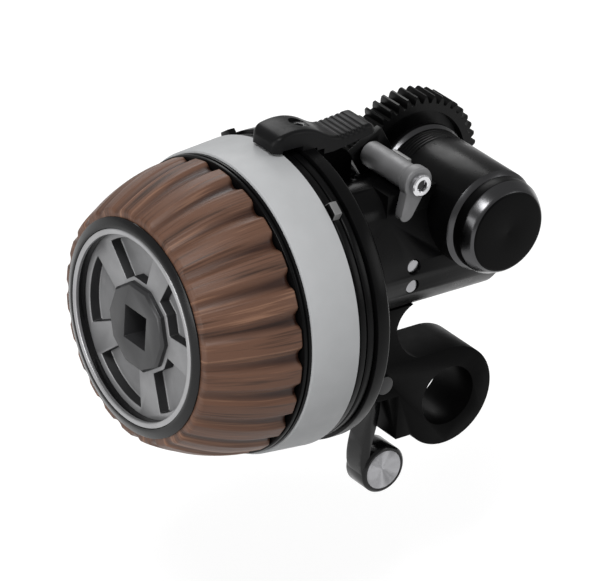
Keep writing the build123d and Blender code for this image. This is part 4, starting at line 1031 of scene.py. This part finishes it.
@dataclass
class Gearbox:
    """Back cover, housing, cross barrel, lens gear and what turns inside."""

    drive_axis: Spot = (0.0, 0.0, 50.0)
    gear_front: float = 12.4
    gear_back: float = 19.4
    teeth: int = 45
    module: float = 0.8
    pressure_angle: float = math.radians(20)
    backlash: float = 0.12
    rim_bore: float = 15.2
    hub: float = 6.5
    bore: float = 3.03
    recess: float = 2.0
    draft: float = 0.25
    tooth_chamfer: float = 0.45

    def build(self) -> None:
        """Make and dress every piece of the gearbox."""
        # The cover takes the darker black, a painted shade.
        refined("back_cover", "dished_cover", 0.25, BLACK_PAINTED_SHADE, "frame")
        barrel_edge = self.bright_cut(-40.0, -15.9, 0.2, 0.98, 11.0)
        refined("gear_housing", "housing_shell", 0.3, BLACK, "frame", BRIGHT_CUT, barrel_edge)
        self.collar_and_cap()
        self.lens_gear()
        refined("side_screws", "side_screw_heads", 0.3, SIDE_STEEL, "frame")
        refined("gear_washer", "washer", 0.12, STEEL, "drive_train")
        refined("gear_screw", "gear_bolt", 0.1, SCREW_BLACK, "drive_train")
        plain(STEEL, "ring_retainer", "wheel_bearing_front", "wheel_bearing_inner", "drive_bearings")
        plain(STEEL, "lay_shaft", "lay_gear", "lay_bevel", "drive_bevel", "drive_shaft")
        plain(BRONZE, "lay_bushes")
        plain(SCREW_BLACK, "cover_screws")

    def collar_and_cap(self) -> None:
        """The turned collar at the gear's end of the barrel, and the cap at the other end."""
        collar = [
            (5.8, 7.9), (5.8, 9.78), (8.42, 9.78), (8.42, 12.35), (8.6, 12.4), (9.5, 13.0), (10.6, 13.0),
            (11.1, 12.3), (12.0, 10.9), (12.0, 6.52), (8.8, 6.52), (8.8, 5.4), (8.42, 5.4), (8.42, 7.9),
        ]
        cap = [
            (-7.47, 6.52), (-7.47, 9.78), (-17.24, 9.78), (-17.24, 11.5), (-20.1, 11.5), (-22.4, 10.25),
            (-23.1, 9.5), (-23.1, 0.0), (-14.06, 0.0), (-14.06, 5.4), (-10.87, 5.4), (-10.87, 6.52),
        ]
        piece = turned("barrel_collar", eased(collar, 0.3), Turning.DRIVE, self.drive_axis)
        dress(piece, BLACK, "frame", "front_collar")
        pick_out(piece, BRIGHT_CUT, self.bright_cut(8.5, 9.7, 0.3, 0.95))
        closed = [(along, radius if radius > 0.2 else 0.0) for along, radius in eased(cap, 0.35)]
        piece = turned("barrel_cap", closed, Turning.DRIVE, self.drive_axis)
        dress(piece, BLACK_SOFT, "frame", "end_cap")
        pick_out(piece, BRIGHT_CUT, self.bright_cut(-40.0, -19.6, 0.2, 0.75))

    def bright_cut(self, start: float, end: float, low: float, high: float, inner: float = 0.0) -> Chooser:
        """Pick the forward-leaning faces of a chamfer that is cut bright.

        Args:
            start: where the chamfer starts along the barrel.
            end: where it ends.
            low: how far forward its faces look at least, as a share.
            high: how far forward they look at most.
            inner: the chamfer's inner radius.

        Returns:
            A function that tells whether a face belongs to it.
        """
        def chosen(face: Face) -> bool:
            """Whether a face belongs to the chamfer."""
            middle = face.center / MM
            radius = math.hypot(middle.x - self.drive_axis[0], middle.z - self.drive_axis[2])
            return start < middle.y < end and radius > inner and low < -face.normal.y < high

        return chosen

    def tooth_half(self, radius: float) -> float:
        """Half the angle that one tooth takes at this radius."""
        pitch = self.module * self.teeth / 2
        lean = self.pressure_angle
        flank = math.acos(min(1.0, pitch * math.cos(lean) / radius))
        at_pitch = math.pi / (2 * self.teeth) - self.backlash / (2 * pitch)
        return at_pitch + (math.tan(lean) - lean) - (math.tan(flank) - flank)

    def lens_gear(self) -> None:
        """One tooth with its share of the rim, web and hub, set round the drive shaft."""
        pitch = self.module * self.teeth / 2
        root, tip = pitch - 1.25 * self.module, pitch + self.module
        base = max(root + 0.01, pitch * math.cos(self.pressure_angle))
        gap, foot = math.pi / self.teeth, self.tooth_half(base)
        flank = [base + (tip - base) * k / 4 for k in range(5)]
        side = [(gap, root), (0.5 * (gap + foot), root), (foot, root)]
        side += [(self.tooth_half(radius), radius) for radius in flank]
        tooth = [(-turn, radius) for turn, radius in side] + side[::-1]
        front, back, rim, hub = self.gear_front, self.gear_back, self.rim_bore, self.hub
        web_front, web_back = front + self.recess, back - self.recess
        work = bmesh.new()
        loops = []
        for turn, radius in tooth:
            cut = self.tooth_chamfer * (radius - root) / (tip - root)
            outline = [
                (front + cut, radius), (back - cut, radius), (back, radius - cut), (back, rim),
                (web_back, rim - self.draft), (web_back, hub + self.draft), (back, hub), (back, self.bore),
                (front, self.bore), (front, hub), (web_front, hub + self.draft),
                (web_front, rim - self.draft), (front, rim), (front, radius - cut),
            ]
            spots = (around(Turning.DRIVE, self.drive_axis, along, reach, turn) for along, reach in outline)
            loops.append([work.verts.new(spot) for spot in spots])
        bridge(work, loops)
        sector = written("tooth", work)
        piece = RING.make("lens_gear", sector, self.teeth, self.drive_axis, Turning.DRIVE, GEAR, 28)
        dress(piece, GEAR, "drive_train", "drive_gear")


@dataclass
class DragLever:
    """The lever that sets the wheel's drag, its screw and its bracket."""

    axis: Spot = (-18.3, 0.0, 62.0)
    key_sides: Point = (2.35, 3.45)
    key_heights: Point = (0.9, 2.3)
    tail_lean: float = math.radians(20)
    tail_length: float = 7.8
    tail_wide: float = 3.0
    tail_narrow: float = 1.7
    cover_end: float = -34.3
    cover_radius: float = 19.4
    cover_slope: float = 2.1
    web_front: float = 5.4
    web_back: float = 8.1
    web_seat: float = 0.3
    housing_top: tuple[Point, ...] = ((5.4, 56.6), (6.0, 56.1), (7.0, 54.9), (8.1, 53.1))
    web_top: tuple[Point, ...] = (
        (-39.3, 67.9), (-37.0, 68.4), (-34.0, 68.3), (-31.0, 67.6), (-28.5, 66.6), (-26.0, 65.2),
        (-24.6, 63.8), (-23.95, 62.7),
    )

    def build(self) -> None:
        """Make and dress the lever's pieces."""
        dress(self.bar(), GUNMETAL, "drag", "drag_lever")
        dress(mesh_object("drag_lever_tail", self.tail()), GUNMETAL, "drag")
        dress(mesh_object("drag_lever_key", self.key()), LIGHT_METAL, "drag")
        refined("lever_bracket", "lever_bracket_plate", 0.25, BLACK, "frame")
        # The web takes the darker black, a painted shade.
        dress(mesh_object("bracket_web", self.web()), BLACK_PAINTED_SHADE, "frame")
        self.screw()

    def bar(self) -> Object:
        """The lever's bar, which turns on its screw."""
        bore, bar, hub = 1.55, 3.09, 3.88
        outline = [
            (5.88, bore), (5.88, bar), (-8.3, bar), (-9.2, bar + 0.3), (-9.75, hub), (-12.18, hub),
            (-12.18, bore),
        ]
        return turned("drag_lever_bar", eased(outline, 0.5, 4), Turning.DRIVE, self.axis, 96)

    def key(self) -> Mesh:
        """The raised key along the bar."""
        inner, outer = (self.axis[0] + side for side in self.key_sides)
        low, high = (self.axis[2] + height for height in self.key_heights)
        sections = []
        for along, inset in ((1.1, 0.2), (0.9, 0.0), (-4.7, 0.0), (-4.9, 0.2)):
            left, right, down, up = inner + inset, outer - inset, low + inset, high - inset
            loop = eased([(left, down), (right, down), (right, up), (left, up)], 0.3)
            sections.append([Vector((x, along, z)) for x, z in loop])
        return lofted("key", sections)

    def tail(self) -> Mesh:
        """The lever's tail, a flat plate that narrows to a round end."""
        length, wide, narrow = self.tail_length, self.tail_wide, self.tail_narrow
        sine, cosine = math.sin(self.tail_lean), math.cos(self.tail_lean)
        side = math.asin((wide - narrow) / length)
        ring = []
        for step in range(13):
            turn = side + (math.pi - 2 * side) * step / 12
            ring.append((narrow * math.cos(turn), -length - narrow * math.sin(turn)))
        ring += [(end * math.cos(side), -wide * math.sin(side)) for end in (-wide, wide)]
        sections = []
        for along, inset in ((-9.78, 0.3), (-10.05, 0.0), (-11.88, 0.0), (-12.15, 0.3)):
            section = []
            for x, z in (Vector(point) * (1 - inset / 6) for point in ring):
                across, up = self.axis[0] + x * cosine + z * sine, self.axis[2] - x * sine + z * cosine
                section.append(Vector((across, along, up)))
            sections.append(section)
        return lofted("tail", sections, 40)

    def web(self) -> Mesh:
        """The web that carries the bracket's plate over to the cover, seated on the housing."""
        front, back, ease, stations = self.web_front, self.web_back, 0.5, 40
        start, end = self.web_top[0][0], self.web_top[-1][0]
        sections = []
        for k in range(stations + 1):
            x = start + (end - start) * k / stations
            top = between_points(self.web_top, x)
            cone = (self.cover_end - x) * self.cover_slope + self.cover_radius if x < self.cover_end else 0.0
            loop = []
            for side in (front, 6.0, 7.0, back):
                low = between_points(self.housing_top, side)
                if cone > side:
                    low = max(low, WHEEL_HEIGHT + math.sqrt(cone**2 - side**2))
                loop.append((side, low - self.web_seat))
            top = max(top, loop[0][1] + 0.4)
            low_top = top - ease * 0.6
            loop += [(back, low_top), (back - ease, top), (front + ease, top), (front, low_top)]
            sections.append([Vector((x, side, up)) for side, up in loop])
        return lofted("web", sections, 40)

    def screw(self) -> None:
        """The lever's screw: a bright ring of a head, with a black hex disc standing for its socket as
        painted shade.
        """
        shank = [
            (7.9, 0.0), (7.9, 1.5), (-12.35, 1.5), (-12.35, 2.58), (-13.35, 2.58), (-13.62, 2.3),
            (-13.62, 1.55), (-13.45, 1.35), (-12.6, 1.3), (-12.6, 0.0),
        ]
        piece = turned("lever_screw_body", shank, Turning.DRIVE, self.axis, 64)
        dress(piece, POLISHED, "frame", "lever_screw")
        # A black hex disc at the floor of the head's recess: painted shade standing for the depth of the hex
        # socket.
        socket = [(-12.55, 0.0), (-12.55, 1.28), (-12.75, 1.28), (-12.75, 0.0)]
        dress(turned("lever_screw_socket_shade", socket, Turning.DRIVE, self.axis, 6), SCREW_BLACK, "frame")


@dataclass
class RodClamp:
    """The arm and ring that hold the rod, with the cam lever and its shoe."""

    pivot: Spot = (-19.7, 0.0, 8.4)
    cam_inner: float = 3.6
    cam_outer: float = 4.7
    relief: float = 0.06

    def build(self) -> None:
        """Make and dress the clamp's pieces."""
        # The clamp takes the darker black, a painted shade.
        refined("clamp_body", "clamp_casting", 0.4, BLACK_PAINTED_SHADE, "frame")
        self.relieve(refined("cam_lever", "cam_lever_arm", 0.35, BEZEL_BLACK, "cam"))
        refined("lever_disc", "lever_disc_face", 0.0, DISC, "cam")
        refined("cam_pin", "cam_pin_body", 0.2, SCREW_BLACK, "frame")
        plain(BRONZE, "clamp_shoe")
        plain(SCREW_BLACK, "arm_screws")

    def relieve(self, piece: Object) -> None:
        """Give the cam's working face a hair more clearance from the shoe."""
        middle = Vector(self.pivot) * MM
        for vert in piece.data.vertices:
            out = vert.co - middle
            out.y = 0.0
            if self.cam_inner * MM < out.length < self.cam_outer * MM:
                vert.co -= out.normalized() * self.relief * MM


@dataclass
class Studio:
    """Pale floor, soft lamps and the camera."""

    floor_height: float = -60.0
    floor_size: float = 6000.0
    paper_grey: float = 0.68
    paper_glow: float = 0.69
    world_light: float = 0.42
    target: Spot = (-44.4, -4.9, 38.5)
    distance: float = 1100.0
    pixels_per_mm: float = 4.45
    frame_width: int = 600
    sensor: float = 36.0
    right: Spot = (0.8022, -0.5942, 0.0603)
    up: Spot = (0.2331, 0.4038, 0.8846)

    def build(self) -> None:
        """Set the floor, the light and the camera."""
        self.floor()
        self.world()
        self.lamp("key", (-420, -300, 720), 260, 3.8)
        self.lamp("side", (-900, -120, 180), 420, 2.6)
        self.lamp("fill", (620, -700, 420), 500, 1.8)
        self.lamp("rim", (300, 700, 650), 400, 2.6)
        self.camera()
        bpy.context.scene.view_settings.view_transform = "Standard"

    def floor(self) -> None:
        """A wide pale floor that keeps the object's shadow."""
        work = bmesh.new()
        bmesh.ops.create_grid(work, x_segments=1, y_segments=1, size=self.floor_size * MM / 2)
        mesh = written("floor", work)
        mesh.transform(Matrix.Translation((0, 0, self.floor_height * MM)))
        mesh.materials.append(self.paper())
        mesh_object("studio_floor", mesh)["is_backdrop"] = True

    def paper(self) -> Material:
        """Pale paper that the camera sees as near white, with the shadow kept."""
        material = bpy.data.materials.new("pale_paper")
        tree = ShaderTree(material)
        tree.give({"Base Color": to_linear((self.paper_grey,) * 3), "Roughness": 0.9})
        tree.give({"Specular IOR Level": 0.1, "Emission Color": (1.0, 1.0, 1.0, 1.0)})
        seen = tree.add("LightPath")
        mirrored = tree.maths("ADD", (seen, "Is Glossy Ray"), (seen, "Is Transmission Ray"))
        either = tree.maths("MAXIMUM", (seen, "Is Camera Ray"), mirrored)
        glow = tree.maths("MULTIPLY", either, self.paper_glow)
        tree.join(glow, 0, tree.shader, "Emission Strength")
        return material

    def world(self) -> None:
        """Even white light from all round."""
        world = bpy.data.worlds.new("studio")
        world.use_nodes = True
        background = world.node_tree.nodes["Background"]
        background.inputs["Color"].default_value = (1.0, 1.0, 1.0, 1.0)
        background.inputs["Strength"].default_value = self.world_light
        bpy.context.scene.world = world

    def lamp(self, name: str, place: Sequence[float], size: float, power: float) -> None:
        """A square soft lamp aimed at the object.

        Args:
            name: the lamp's name.
            place: where it stands, in millimetres.
            size: the side of its square, in millimetres.
            power: its power in watts.
        """
        light = bpy.data.lights.new(name, "AREA")
        light.shape = "SQUARE"
        light.size = size * MM
        light.energy = power
        lamp = bpy.data.objects.new(name, light)
        lamp.location = Vector(place) * MM
        aim = (Vector(self.target) * MM - lamp.location).to_track_quat("-Z", "Y")
        lamp.rotation_euler = aim.to_euler()
        bpy.context.scene.collection.objects.link(lamp)

    def camera(self) -> None:
        """The camera, with the object's upright leaning a little to the right."""
        data = bpy.data.cameras.new("camera")
        data.sensor_width = self.sensor
        data.lens = self.sensor * self.pixels_per_mm * self.distance / self.frame_width
        data.clip_start, data.clip_end = 0.05, 20.0
        camera = bpy.data.objects.new("camera", data)
        right, up = Vector(self.right).normalized(), Vector(self.up)
        back = right.cross(up).normalized()
        up = back.cross(right)
        turn = Matrix((right, up, back)).transposed().to_4x4()
        place = (Vector(self.target) + back * self.distance) * MM
        camera.matrix_world = Matrix.Translation(place) @ turn
        bpy.context.scene.collection.objects.link(camera)
        bpy.context.scene.camera = camera


def corners(bounds: tuple[Vector, Vector]) -> list[list[float]]:
    """A box as plain lists of numbers."""
    return [list(bounds[0]), list(bounds[1])]


def main() -> None:
    """Build every sub-assembly, then the studio."""
    logging.basicConfig(level=logging.INFO)
    cad_box = corners(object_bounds())
    for assembly in (Handwheel(), StopsAndPointer(), Gearbox(), DragLever(), RodClamp()):
        assembly.build()
        log.info("%s is built", type(assembly).__name__)
    Studio().build()
    visual_box = corners(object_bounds())


if __name__ == "__main__":
    main()
